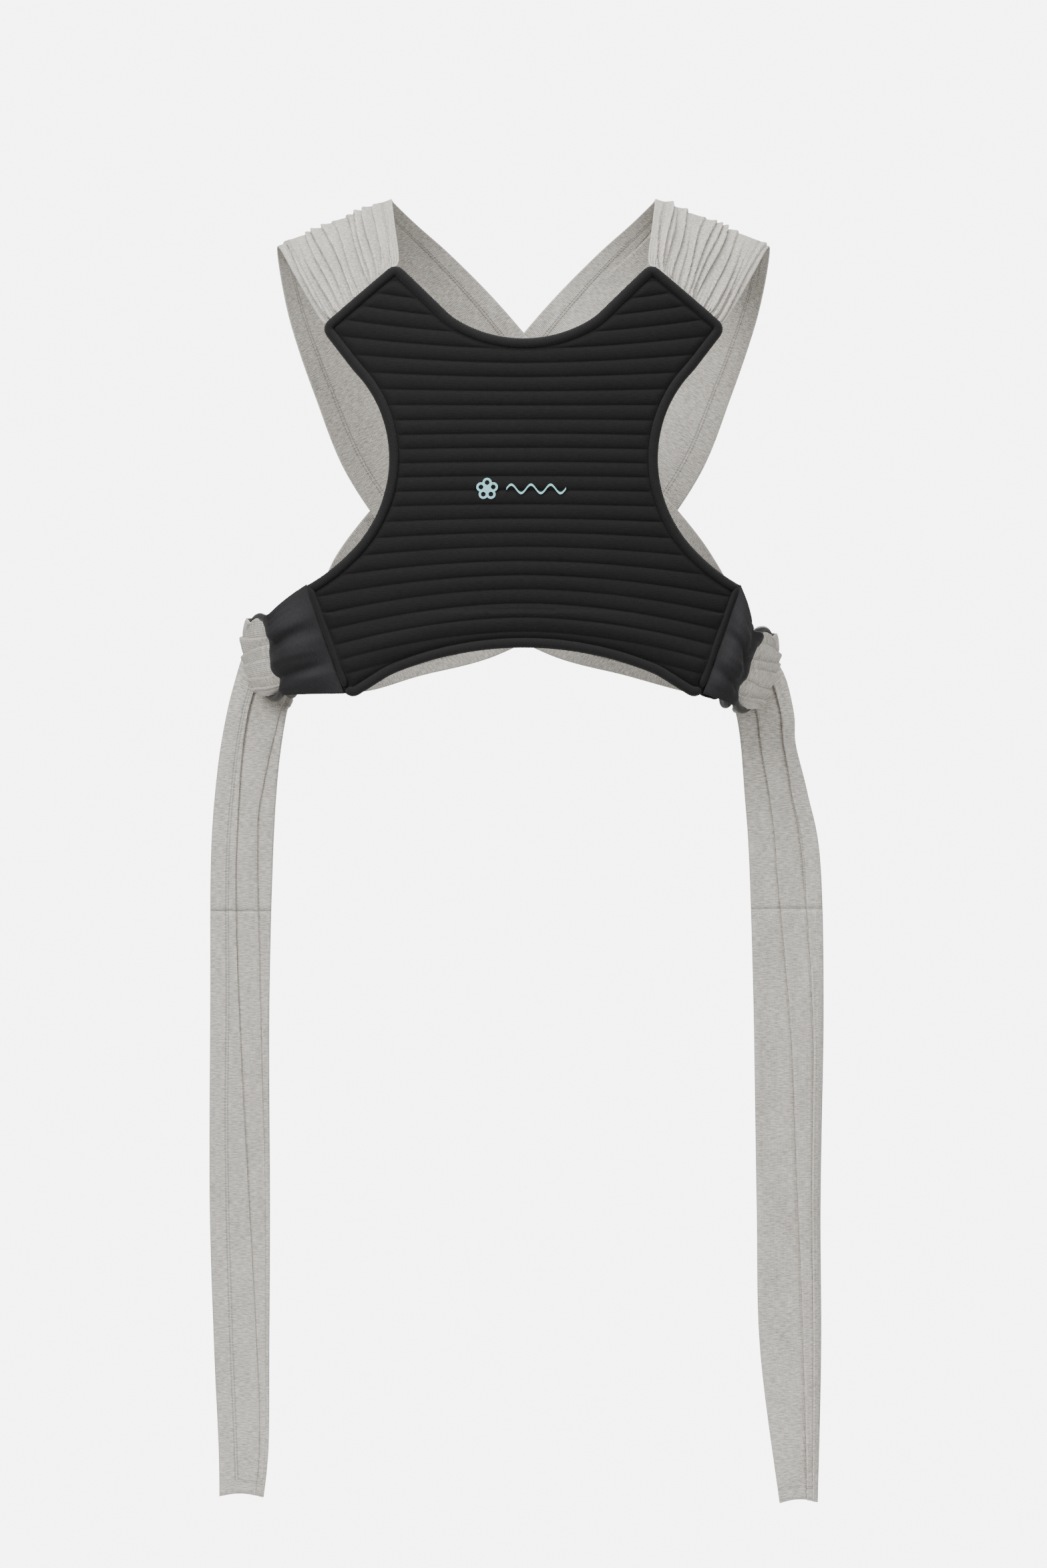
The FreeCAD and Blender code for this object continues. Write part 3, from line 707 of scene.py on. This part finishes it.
def wing_cloth(side):
    """The closed skin of a wing: a bag with one edge at the panel's seam and the other folded in the rings."""
    top = bent(np.array(side * (SEAM_TOP[0] - 0.003)), np.array(SEAM_TOP[1] + 0.001), PANEL_THICK / 2)
    low = bent(np.array(side * (SEAM_LOW[0] + 0.002)), np.array(SEAM_LOW[1] + 0.009), PANEL_THICK / 2)
    face = np.array([side * 0.55, -0.83, 0.0])
    front = [(0.056, 0.0115), (0.049, 0.0140), (0.042, 0.0150)]
    front += [(0.034, 0.0138), (0.028, 0.0100), (0.0245, 0.0045)]
    back = [(0.0245, -0.0030), (0.029, -0.0085), (0.036, -0.0118), (0.044, -0.0122), (0.054, -0.0100)]
    v = np.linspace(-1, 1, WING_COLUMNS)
    tall, deep = WING_TOP[side], WING_LOW[side]
    height = np.where(v > 0, v * tall, v * deep)
    edge = np.array(WING_EDGE[side])
    drawn = np.interp(height, edge[:, 0], edge[:, 1])
    for _ in range(6):
        drawn[1:-1] = (drawn[:-2] + 2 * drawn[1:-1] + drawn[2:]) / 4
    rows = []

    def bar_row(r, n):
        squeeze = 1 - 0.30 * smooth_step(0.040, 0.025, r)
        share = smooth_step(0.058, 0.034, r) * np.sign(n)
        return from_ring(side, np.stack([r - 0.004 * v**2 * squeeze, height * squeeze, n - drawn * share], axis=-1))

    def seam_row(share, sign):
        sew = low + (top - low) * ((v + 1) / 2)[:, None] + face * WING_SEAM_THICK * sign
        held = bar_row(*(front[0] if sign > 0 else back[-1]))
        swell = 0.007 * math.sin(math.pi * share) * (1 - v**2) + 0.004 * math.sin(math.pi * share)
        return sew + (held - sew) * share + (face * sign) * swell[:, None]

    rows += [seam_row(share, 1) for share in (0.0, 0.06, 0.35, 0.70)]
    rows += [bar_row(r, n) for r, n in front + back]
    rows += [seam_row(share, -1) for share in (0.70, 0.35, 0.06, 0.0)]
    return smooth_rows(np.array(rows), WING_ROWS)


def smooth_rows(rows, count):
    """A finer grid through the given rows, along smooth curves."""
    n = len(rows)
    at = np.linspace(0, n - 1, count)
    i = np.clip(at.astype(int), 0, n - 2)
    t = (at - i)[:, None, None]
    p0, p1, p2, p3 = rows[np.maximum(i - 1, 0)], rows[i], rows[i + 1], rows[np.minimum(i + 2, n - 1)]
    square = 2 * p0 - 5 * p1 + 4 * p2 - p3
    cube = 3 * p1 - p0 - 3 * p2 + p3
    return 0.5 * (2 * p1 + (p2 - p0) * t + square * t**2 + cube * t**3)


def grid_normals(grid):
    """Unit normals of a grid of points."""
    along = np.gradient(grid, axis=0)
    across = np.gradient(grid, axis=1)
    normal = np.cross(across, along)
    return normal / np.maximum(np.linalg.norm(normal, axis=-1, keepdims=True), 1e-12)


WING_FOLDS = {
    # across at the rings, across at the seam, width, height
    LEFT: ((0.72, 0.30, 0.20, 0.0040), (-0.42, -0.05, 0.20, 0.0044), (-0.95, -0.60, 0.16, 0.0034),
           (0.30, 0.12, 0.10, -0.0030), (-0.70, -0.36, 0.09, -0.0032)),
    RIGHT: ((0.66, 0.40, 0.24, 0.0034), (-0.20, -0.30, 0.22, 0.0044), (-0.86, -0.80, 0.18, 0.0030),
            (0.22, 0.05, 0.10, -0.0024), (-0.52, -0.55, 0.09, -0.0030)),
}


def wing_folds(grid, side):
    """Soft folds that fan from the rings to the seam, pushed along the cloth's own normal."""
    rows, columns = grid.shape[:2]
    u = np.linspace(0, 1, rows)[:, None]
    v = np.linspace(-1, 1, columns)[None, :]
    front = smooth_step(0.02, 0.12, u) * (1 - smooth_step(0.26, 0.44, u))
    rear = smooth_step(0.58, 0.70, u) * (1 - smooth_step(0.90, 0.98, u))
    folds = WING_FOLDS[side]
    lift = np.zeros((rows, columns))
    reach = np.clip(u / 0.42, 0, 1)
    for at_rings, at_seam, wide, tall in folds:
        centre = at_seam + (at_rings - at_seam) * reach + 0.05 * np.sin(9 * u + 7 * at_seam)
        lift += tall * np.exp(-(((v - centre) / (wide * (1.25 - 0.4 * reach))) ** 2)) * (front + 0.6 * rear)
    pucker = np.array([[noise.noise(Vector((a * 6, b * 9, side * 3.3))) for b in v[0]] for a in u[:, 0]])
    return lift + 0.0007 * pucker * (front + rear)


def thick_cloth(name, grid, thick, cloth, normal=None):
    """A closed sheet of even thickness with rounded long edges, centred on a grid of points."""
    normal = grid_normals(grid) if normal is None else normal
    rows, columns = grid.shape[:2]
    half = thick / 2
    left = (grid[:, 0] - grid[:, 1])
    left = left / np.linalg.norm(left, axis=-1, keepdims=True) * half * 0.9
    right = (grid[:, -1] - grid[:, -2])
    right = right / np.linalg.norm(right, axis=-1, keepdims=True) * half * 0.9
    first, last = (grid[:, 0] + left)[:, None], (grid[:, -1] + right)[:, None]
    loop = np.concatenate([first, grid + normal * half, last, (grid - normal * half)[:, ::-1]], axis=1)
    spots = np.concatenate([cloth[:, :1], cloth, cloth[:, -1:], cloth[:, ::-1]], axis=1)
    width = loop.shape[1]
    faces = grid_faces(rows, width, False, True)
    sides = len(faces)
    for row in (0, rows - 1):
        base = row * width
        front = list(range(base, base + columns + 2))
        rear = [base] + [base + width - 1 - k for k in range(columns)] + [base + columns + 1]
        for k in range(columns + 1):
            quad = (front[k], front[k + 1], rear[k + 1], rear[k])
            faces.append(tuple(dict.fromkeys(quad)))
    piece = outward(new_piece(name, loop.reshape(-1, 3), faces, spots.reshape(-1, 3)))
    piece.data.polygons.foreach_set("use_smooth", [k < sides for k in range(len(piece.data.polygons))])
    return piece


def cloth_spots(grid, width=None):
    """Where each grid point lies on the flat cloth: across, along, and in from the nearer long edge."""
    step = np.linalg.norm(np.diff(grid, axis=0), axis=-1).mean(axis=1)
    along = np.concatenate([[0], np.cumsum(step)])
    if width is None:
        width = np.linalg.norm(np.diff(grid, axis=1), axis=-1).sum(axis=1).max()
    across = np.linspace(0, width, grid.shape[1])
    x, y = np.meshgrid(across, along)
    return np.stack([x, y, np.minimum(x, width - x)], axis=-1)


wing_jersey = jersey_material(
    "stretch jersey", (0.0068, 0.0058, 0.0070), (0.0135, 0.0118, 0.0140), 0.0008, 0.2, 0.0002, 0.7, 0.05
)
for side in (LEFT, RIGHT):
    hip = SIDE_NAME[side]
    axes, centre = ring_frame(side)
    skin = wing_cloth(side)
    normal = grid_normals(skin)
    facing = 1 if normal[20, 30, 1] < 0 else -1
    skin = skin + normal * facing * wing_folds(skin, side)[..., None]
    wing_piece = thick_cloth(f"{hip}_wing_cloth", skin, 0.0018, cloth_spots(skin))
    dress(wing_piece, wing_jersey, f"{hip}_wing", (f"{hip}_wing",))
    own_edge = seam_edge if side == RIGHT else mirrored(seam_edge)
    # The seam roll uses the bindings' lighter tones, a painted highlight.
    seam_roll = rolled_binding(f"{hip}_seam_roll", own_edge, SEAM_ROLL_WIDTH, 8.0 + side)
    dress(seam_roll, highlit_binding_jersey, "carrier")

# ------------------------------------------------------------------------------------------------
# The shoulder straps
# Melange cotton jersey with fine ribs along its length. Each strap leaves the panel's top corner in
# gathers, folds over the shoulder, opens out flat on the back and crosses to the far ring.
# ------------------------------------------------------------------------------------------------
STRAP_DARK = (0.30, 0.28, 0.245)
STRAP_LIGHT = (0.80, 0.765, 0.695)
STRAP_THICK = 0.0016
STRAP_FLAT = 0.235
STRAP_ROWS, STRAP_COLUMNS = 230, 150
BACK_Y = 0.112
BACK_FALL = 0.700
CROSS_OFFSET = 0.007
HEM_LINES = (0.0185, 0.0215)
STRAP_STATIONS = (
    # inner edge, outer edge, how far it lies on the back, flat width share
    ((-0.130, -0.100, -0.058), (-0.196, -0.073, -0.109), 0.0),
    ((-0.125, -0.090, -0.046), (-0.203, -0.071, -0.106), 0.0),
    ((-0.130, -0.056, -0.008), (-0.228, -0.046, -0.062), 0.0),
    ((-0.134, -0.016, 0.021), (-0.247, -0.014, -0.027), 0.0),
    ((-0.132, 0.014, 0.022), (-0.251, 0.010, -0.028), 0.0),
    ((-0.110, 0.052, 0.006), (-0.247, 0.030, -0.060), 0.3),
    ((-0.075, 0.084, -0.022), (-0.237, 0.042, -0.104), 0.6),
    ((-0.030, 0.106, -0.066), (-0.215, 0.047, -0.170), 1.0),
    ((0.025, 0.111, -0.130), (-0.182, 0.065, -0.252), 1.0),
    ((0.085, 0.102, -0.203), (-0.125, 0.090, -0.330), 1.0),
    ((0.130, 0.088, -0.254), (-0.052, 0.108, -0.392), 1.0),
    ((0.168, 0.072, -0.299), (0.028, 0.111, -0.436), 1.0),
    ((0.194, 0.055, -0.336), (0.108, 0.095, -0.458), 0.8),
    ((0.212, 0.036, -0.374), (0.168, 0.066, -0.475), 0.5),
)


def strap_surface(side):
    """The strap's middle surface, one row across it at a time, from the panel's corner to the far rings."""
    mirror = (-side, 1, 1)
    inner = np.array([s[0] for s in STRAP_STATIONS]) * mirror
    outer = np.array([s[1] for s in STRAP_STATIONS]) * mirror
    lie = np.array([s[2] for s in STRAP_STATIONS])
    ring_side = -side
    ends = [(-0.020, 0.033, -0.034), (-0.024, 0.025, -0.012), (-0.026, 0.022, 0.004)]
    for r, t, n in ends:
        inner = np.vstack([inner, from_ring(ring_side, (r, t, n))])
        outer = np.vstack([outer, from_ring(ring_side, (r, -t, n))])
        lie = np.append(lie, 0.0)
    offset = (CROSS_OFFSET if side == RIGHT else 0.0) * lie
    inner[:, 1] += offset
    outer[:, 1] += offset
    table = np.concatenate([inner, outer, lie[:, None], offset[:, None]], axis=1)[:, None, :]
    fine = smooth_rows(table, STRAP_ROWS)[:, 0]
    u = np.linspace(0, 1, STRAP_COLUMNS)[None, :, None]
    grid = fine[:, None, 0:3] * (1 - u) + fine[:, None, 3:6] * u
    lie, offset = np.clip(fine[:, 6:7], 0, 1), fine[:, 7:8]
    on_back = BACK_Y - grid[..., 0] ** 2 / BACK_FALL + offset
    grid[..., 1] += (on_back - grid[..., 1]) * lie
    return grid


def crease(d, lip, wide):
    """The profile across one overlapped fold: it swells towards the crease and drops sharply past it."""
    rise = np.exp(np.minimum(d, 0) / wide) * (d <= 0)
    hollow = -0.45 * np.exp(-np.maximum(d, 0) / (0.5 * wide)) * (d > 0)
    edge = smooth_step(0, 1, d / lip + 0.5)
    return rise * (1 - edge) + hollow * edge + (d > 0) * (1 - edge) * 1.0


def shoulder_gathers(rows, columns, side, rng):
    """Overlapped folds that fan out from the seam to the shoulder and die away down the back."""
    v = np.linspace(0, 1, rows)[:, None]
    u = np.linspace(0, 1, columns)[None, :]
    lift = np.zeros((rows, columns))
    count = 13 if side == RIGHT else 11
    for k in range(count):
        at_fold = (k + 0.55 + rng.uniform(-0.28, 0.28)) / count
        at_seam = 0.5 + (at_fold - 0.5) * 0.92 + rng.uniform(-0.035, 0.035)
        start, end = rng.uniform(-0.05, 0.06), rng.uniform(0.20, 0.42)
        tall = rng.uniform(0.0022, 0.0050) * (1.2 if side == RIGHT else 1.0)
        path = at_seam + (at_fold - at_seam) * smooth_step(0.0, 0.17, v) + 0.012 * np.sin(v * 40 + k)
        strength = smooth_step(start - 0.02, start + 0.07, v) * (1 - smooth_step(end - 0.16, end, v))
        lift += tall * strength * crease(u - path, 0.008, 0.040)
    fine = np.sin(u * 2 * np.pi * 31 + 2.5 * np.sin(u * 23)) * 0.0006 * (1 - smooth_step(0.03, 0.13, v))
    return lift + fine


def back_drape(grid, side, rng):
    """Shallow lengthwise waves on the back, one long crease, and pleats where the strap nears the rings."""
    rows, columns = grid.shape[:2]
    v = np.linspace(0, 1, rows)[:, None]
    u = np.linspace(0, 1, columns)[None, :]
    flat = smooth_step(0.28, 0.42, v)
    gather = smooth_step(0.74, 0.93, v)
    lift = 0.0016 * flat * (1 - gather) * np.sin(2 * np.pi * (1.4 * u + 0.35 * np.sin(3 * v + side)))
    lift += 0.0024 * flat * (1 - gather) * crease(u - 0.34 - 0.06 * v, 0.006, 0.05)
    for k in range(8):
        centre = (k + 0.5 + rng.uniform(-0.25, 0.25)) / 8
        lift += rng.uniform(0.0020, 0.0042) * gather * crease(u - centre, 0.02, 0.05)
    return lift


strap_jersey = jersey_material(
    "melange jersey", STRAP_DARK, STRAP_LIGHT, 0.00165, 0.6, 0.0008, 0.92, 0.06, HEM_LINES
)
for side in (LEFT, RIGHT):
    shoulder, hip = SIDE_NAME[side], SIDE_NAME[-side]
    rng = np.random.default_rng(20 + side)
    grid = strap_surface(side)
    normal = grid_normals(grid)
    out = 1 if normal[STRAP_ROWS // 2, STRAP_COLUMNS // 2, 1] > 0 else -1
    relief_map = shoulder_gathers(STRAP_ROWS, STRAP_COLUMNS, side, rng) + back_drape(grid, side, rng)
    spots = cloth_spots(grid, STRAP_FLAT)
    hem_band = 0.0005 * (1 - smooth_step(0.0200, 0.0216, spots[..., 2]))
    grid = grid + normal * out * (relief_map - hem_band)[..., None]
    strap = thick_cloth(f"{shoulder}_shoulder_strap_cloth", grid, STRAP_THICK, spots)
    strap.data.materials.append(strap_jersey)
    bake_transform(strap)
    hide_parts(f"{shoulder}_shoulder_strap", f"{shoulder}_strap_anchor", f"{hip}_strap_feed")

# ------------------------------------------------------------------------------------------------
# The strap folded over the rings
# Each bunched strap comes out through both rings beside the wing, turns over the front ring's far bar
# and goes back in between the rings. Its width is folded into pleats that lie on one another like tiles.
# ------------------------------------------------------------------------------------------------
WRAP_PATH = (
    # away from the panel, out of the rings' face, how closely it follows the ring's round
    (0.018, -0.012, 0.0),
    (0.015, 0.000, 0.0),
    (0.006, 0.0085, 0.10),
    (-0.008, 0.0135, 0.30),
    (-0.022, 0.0165, 0.60),
    (-0.035, 0.0190, 0.90),
    (-0.047, 0.0178, 1.0),
    (-0.0545, 0.0120, 1.0),
    (-0.0550, 0.0045, 1.0),
    (-0.0500, -0.0005, 1.0),
)
WRAP_HEIGHTS = {LEFT: (-0.036, 0.037), RIGHT: (-0.038, 0.036)}
WRAP_PLEATS = {LEFT: (0.13, 0.27, 0.44, 0.60, 0.78), RIGHT: (0.16, 0.36, 0.52, 0.66, 0.82)}
WRAP_OVERLAP = 0.15
WRAP_RISE = 0.0036
BACK_LAYER = -1.7  # how deep the hidden layers lie, in units of the rise
WRAP_ROWS = 70
PLEAT_GAP = 0.62  # between the layers of a fold, as a share of the pleats' rise
CLOTH_THICK = 0.0011


def pleated(edges, overlap, back=None, puff=0.25):
    """Where a strap folded in pleats runs: shares of its folded width, and heights in units of the rise.

    edges has one row per station along the strap and one column per pleat.
    """
    edges = np.atleast_2d(edges)
    rows = len(edges)
    ones = np.ones((rows, 1))

    def strip(start, end, low, high, count):
        t = np.linspace(0, 1, count)[None, :]
        lip = 0.45 * np.exp(-(((1 - t) / 0.16) ** 2)) if high > 0 > low else 0
        return start + (end - start) * t, low + (high - low) * t + (puff * np.sin(np.pi * t) + lip) * ones

    def fold(at, start, end, bulge):
        t = np.linspace(-0.5, 0.5, 7)[None, 1:-1] * np.pi
        return at + bulge * np.cos(t) * ones, (start + end) / 2 + (end - start) / 2 * np.sin(t) * ones

    runs, start = [], 0 * ones
    for k in range(edges.shape[1]):
        edge = edges[:, k : k + 1]
        tuck = np.maximum(edge - overlap, start * 0 + 0.02)
        runs += [strip(start, edge, -1, 1, 16), fold(edge, 1.45, 1 - PLEAT_GAP, 0.008)]
        runs += [strip(edge, tuck, 1 - PLEAT_GAP, PLEAT_GAP - 1, 8), fold(tuck, PLEAT_GAP - 1, -1, -0.006)]
        start = tuck
    runs.append(strip(start, 1 * ones, -1, 1, 16))
    top = 1.45
    if back is not None:
        runs += [fold(1 * ones, top, BACK_LAYER, 0.02), strip(1 * ones, back * ones, BACK_LAYER, BACK_LAYER, 20)]
    return np.concatenate([p for p, _ in runs], axis=1), np.concatenate([h for _, h in runs], axis=1)



def ring_wrap(side):
    """The middle surface of the bunched strap round the front ring's far bar."""
    path = smooth_rows(np.array(WRAP_PATH)[:, None, :], WRAP_ROWS)[:, 0]
    rng = np.random.default_rng(41 + side)
    wander = np.linspace(0, 1, WRAP_ROWS)[:, None]
    edges = np.array(WRAP_PLEATS[side])[None, :] + 0.035 * np.sin(wander * 5 + rng.uniform(0, 6, 5)[None, :])
    share, height = pleated(edges, WRAP_OVERLAP, puff=0.55)
    low, high = WRAP_HEIGHTS[side]

    def place(share):
        t = low + (high - low) * share
        t = t * (1 + 0.10 * np.sin(wander * 3.1))
        round_in = path[:, 2:3] * (RING_RADIUS - np.sqrt(np.maximum(RING_RADIUS**2 - t**2, 0.0001)))
        thin = 1 - 0.30 * np.abs(2 * share - 1) ** 4
        return from_ring(side, np.stack([path[:, 0:1] + round_in, t, path[:, 1:2] * thin], axis=-1))

    base = place(np.linspace(0, 1, 30)[None, :] * np.ones((WRAP_ROWS, 1)))
    normal = grid_normals(base)
    out = np.sign((normal[WRAP_ROWS // 2, 15] @ ring_frame(side)[0][2])) or 1
    at = np.clip(share, 0, 1) * 29
    i = np.clip(at.astype(int), 0, 28)
    f = (at - i)[..., None]
    lines = np.arange(WRAP_ROWS)[:, None]
    lifted = normal[lines, i] * (1 - f) + normal[lines, i + 1] * f
    grid = place(share) + lifted * out * (height * WRAP_RISE)[..., None]
    return grid


for side in (LEFT, RIGHT):
    hip = SIDE_NAME[side]
    wrap = ring_wrap(side)
    piece = thick_cloth(f"{hip}_ring_wrap_cloth", wrap, CLOTH_THICK, cloth_spots(wrap))
    dress(piece, strap_jersey, f"{hip}_front_ring", (f"{hip}_ring_wrap",))

# ------------------------------------------------------------------------------------------------
# The hanging tails
# What is left of each strap comes out from between the rings, turns down and hangs almost to the floor.
# Its width is folded lengthwise into a few layers, and its end is hemmed.
# ------------------------------------------------------------------------------------------------
TAIL_SPLIT = -0.700
TAIL_RISE = 0.0030
TAIL_STEP = 0.005
TAIL_TOP = {
    # outer edge, inner edge
    LEFT: (
        ((-0.2725, 0.0255, -0.4160), (-0.2600, 0.0265, -0.4660)),
        ((-0.2775, 0.0340, -0.4150), (-0.2475, 0.0370, -0.4720)),
        ((-0.2855, 0.0395, -0.4300), (-0.2385, 0.0400, -0.4820)),
        ((-0.2950, 0.0390, -0.4600), (-0.2405, 0.0390, -0.4900)),
    ),
    RIGHT: (
        ((0.2470, 0.0255, -0.4290), (0.2320, 0.0265, -0.4800)),
        ((0.2510, 0.0340, -0.4300), (0.2230, 0.0370, -0.4850)),
        ((0.2600, 0.0395, -0.4440), (0.2160, 0.0400, -0.4920)),
        ((0.2700, 0.0390, -0.4640), (0.2170, 0.0390, -0.4960)),
    ),
}
TAIL_LINE = {
    # height, how far out the tail's middle hangs, its folded width
    LEFT: (
        (-0.50, 0.275, 0.060),
        (-0.56, 0.284, 0.061),
        (-0.65, 0.290, 0.062),
        (-0.80, 0.292, 0.059),
        (-1.00, 0.292, 0.060),
        (-1.15, 0.290, 0.055),
        (-1.25, 0.288, 0.050),
        (-1.303, 0.290, 0.044),
    ),
    RIGHT: (
        (-0.50, 0.249, 0.058),
        (-0.53, 0.252, 0.055),
        (-0.58, 0.260, 0.063),
        (-0.65, 0.269, 0.071),
        (-0.80, 0.273, 0.070),
        (-1.00, 0.273, 0.064),
        (-1.15, 0.275, 0.061),
        (-1.309, 0.283, 0.038),
    ),
}
TAIL_PLEATS = {
    # height, where the upper and the lower layer's edge run across the width
    LEFT: (
        (-0.42, 0.34, 0.90),
        (-0.51, 0.35, 0.89),
        (-0.60, 0.40, 0.73),
        (-0.66, 0.40, 0.76),
        (-0.76, 0.45, 0.84),
        (-0.96, 0.62, 0.93),
        (-1.20, 0.82, 0.95),
    ),
    RIGHT: (
        (-0.42, 0.24, 0.64),
        (-0.54, 0.21, 0.64),
        (-0.58, 0.25, 0.61),
        (-0.66, 0.24, 0.62),
        (-0.76, 0.17, 0.53),
        (-0.84, 0.13, 0.45),
        (-1.06, 0.12, 0.31),
        (-1.20, 0.12, 0.27),
    ),
}
TAIL_DEPTH = 0.036
TAIL_OVERLAP = 0.20
END_HEM = 0.013


def tail_rows(side):
    """The outer and inner edge of a tail in even steps from the rings down, and its pleats' edges there."""
    line = TAIL_LINE[side]
    outer = [p for p, _ in TAIL_TOP[side]]
    outer += [(side * (out + wide / 2), TAIL_DEPTH, z) for z, out, wide in line]
    inner = [q for _, q in TAIL_TOP[side]]
    inner += [(side * (out - wide / 2), TAIL_DEPTH, z) for z, out, wide in line]
    table = np.concatenate([outer, inner], axis=1)[:, None, :]
    fine = smooth_rows(table, 600)[:, 0]
    steps = np.linalg.norm(np.diff((fine[:, :3] + fine[:, 3:]) / 2, axis=0), axis=1)
    along = np.concatenate([[0], np.cumsum(steps)])
    count = int(along[-1] / TAIL_STEP)
    at = np.linspace(0, along[-1], count)
    even = np.stack([np.interp(at, along, fine[:, k]) for k in range(6)], axis=-1)
    pleats = np.array(TAIL_PLEATS[side])[::-1]
    middle = (even[:, 2] + even[:, 5]) / 2
    edges = np.stack([np.interp(middle, pleats[:, 0], pleats[:, k]) for k in (1, 2)], axis=-1)
    for _ in range(3):
        edges[1:-1] = (edges[:-2] + 2 * edges[1:-1] + edges[2:]) / 4
    return even[:, :3], even[:, 3:], edges, at



def tail_cloth(side):
    """The folded tail as a grid of points, with its cloth coordinates."""
    outer, inner, edges, at = tail_rows(side)
    share, height = pleated(edges, TAIL_OVERLAP, back=0.08, puff=0.5)
    across = inner - outer
    down = np.gradient((inner + outer) / 2, axis=0)
    front = np.cross(across, down)
    front /= np.linalg.norm(front, axis=1)[:, None]
    front *= np.sign(-front[-1, 1])
    spread = np.linspace(0, 1, 24)
    wave = np.array([[noise.noise(Vector((w * 2.3, a * 5.5, 7.7 + side))) for w in spread] for a in at])
    pick = np.clip(share, 0, 1) * 23
    i = np.clip(pick.astype(int), 0, 22)
    lines = np.arange(len(at))[:, None]
    soft = wave[lines, i] * (1 - (pick - i)) + wave[lines, i + 1] * (pick - i)
    grow = smooth_step(0.03, 0.16, at)[:, None]
    last = smooth_step(at[-1], at[-1] - 0.05, at)[:, None]
    lift = height * TAIL_RISE * (0.6 + 0.4 * last) + soft * 0.0045 * grow * (0.3 + 0.7 * last)
    grid = outer[:, None] + across[:, None] * share[..., None] + front[:, None] * lift[..., None]
    sag = 0.0035 * np.sin(np.pi * np.clip(share, 0, 1)) * (1 - last)
    grid[..., 2] += sag
    widths = np.linalg.norm(np.diff(grid, axis=1), axis=-1)
    place = np.concatenate([np.zeros((len(at), 1)), np.cumsum(widths, axis=1)], axis=1)
    place *= STRAP_FLAT / place[:, -1:].max()
    hem = np.minimum(place, STRAP_FLAT - place)
    from_end = (at[-1] - at)[:, None]
    hem = np.where(from_end < 0.02, np.minimum(hem, from_end * 0.0185 / END_HEM), hem)
    return grid, np.stack([place, at[:, None] + 0 * place, hem], axis=-1)


for side in (LEFT, RIGHT):
    hip = SIDE_NAME[side]
    grid, spots = tail_cloth(side)
    cut = int(np.argmin(np.abs(grid[:, 8, 2] - TAIL_SPLIT)))
    normal = grid_normals(grid)
    above, below = slice(None, cut + 1), slice(cut, None)
    upper = thick_cloth(f"{hip}_tail_cloth", grid[above], CLOTH_THICK, spots[above], normal[above])
    lower = thick_cloth(f"{hip}_tail_end_cloth", grid[below], CLOTH_THICK, spots[below], normal[below])
    for piece in (upper, lower):
        piece.data.materials.append(strap_jersey)
    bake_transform(upper)
    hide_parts(f"{hip}_tail_bend", f"{hip}_tail")
    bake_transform(lower)
    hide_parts(f"{hip}_tail_end")

# ------------------------------------------------------------------------------------------------
# The stage
# A small pale floor, a plain pale surround, two soft boxes in front, one above and one behind. The
# surround is brighter to the camera than it is as a light, so the object keeps its shading.
# ------------------------------------------------------------------------------------------------
FLOOR_HEIGHT = -1.50
FLOOR_HALF = 0.70
SURROUND_SEEN = 6.4
SURROUND_LIGHT = 0.55


def area_light(name, place, aim, size, power, tint=(1, 1, 1)):
    data = bpy.data.lights.new(name, "AREA")
    data.shape = "RECTANGLE"
    data.size, data.size_y = size
    data.energy = power
    data.color = tint
    light = bpy.data.objects.new(name, data)
    light.location = place
    light.rotation_euler = (Vector(aim) - Vector(place)).to_track_quat("-Z", "Y").to_euler()
    bpy.context.scene.collection.objects.link(light)


floor = bpy.data.meshes.new("studio_floor")
corner_signs = ((-1, -1), (1, -1), (1, 1), (-1, 1))
floor_corners = [(x * FLOOR_HALF, y * FLOOR_HALF, FLOOR_HEIGHT) for x, y in corner_signs]
floor.from_pydata(floor_corners, [], [(0, 1, 2, 3)])
floor_piece = bpy.data.objects.new("studio_floor", floor)
bpy.context.scene.collection.objects.link(floor_piece)
floor_material, _, floor_shader = new_material("pale floor")
floor_shader.inputs["Base Color"].default_value = (0.92, 0.92, 0.92, 1)
floor_shader.inputs["Roughness"].default_value = 0.9
floor.materials.append(floor_material)

world = bpy.data.worlds.new("studio")
world.use_nodes = True
lit = world.node_tree.nodes["Background"]
lit.inputs[0].default_value = (1, 1, 1, 1)
lit.inputs[1].default_value = SURROUND_LIGHT
seen = world.node_tree.nodes.new("ShaderNodeBackground")
seen.inputs[0].default_value = (1, 1, 1, 1)
seen.inputs[1].default_value = SURROUND_SEEN
ray = world.node_tree.nodes.new("ShaderNodeLightPath")
choice = world.node_tree.nodes.new("ShaderNodeMixShader")
world.node_tree.links.new(ray.outputs["Is Camera Ray"], choice.inputs[0])
world.node_tree.links.new(lit.outputs[0], choice.inputs[1])
world.node_tree.links.new(seen.outputs[0], choice.inputs[2])
world.node_tree.links.new(choice.outputs[0], world.node_tree.nodes["World Output"].inputs[0])
bpy.context.scene.world = world
area_light("front_left", (-2.2, -2.8, 1.7), (0, 0, -0.5), (1.4, 1.8), 150)
area_light("front_right", (2.4, -2.6, 0.4), (0, 0, -0.6), (1.6, 2.4), 45)
area_light("overhead", (0, -0.9, 2.2), (0, 0, -0.4), (2.0, 1.4), 80)
area_light("behind", (0.6, 2.8, 0.9), (0, 0, -0.5), (2.0, 2.0), 70)
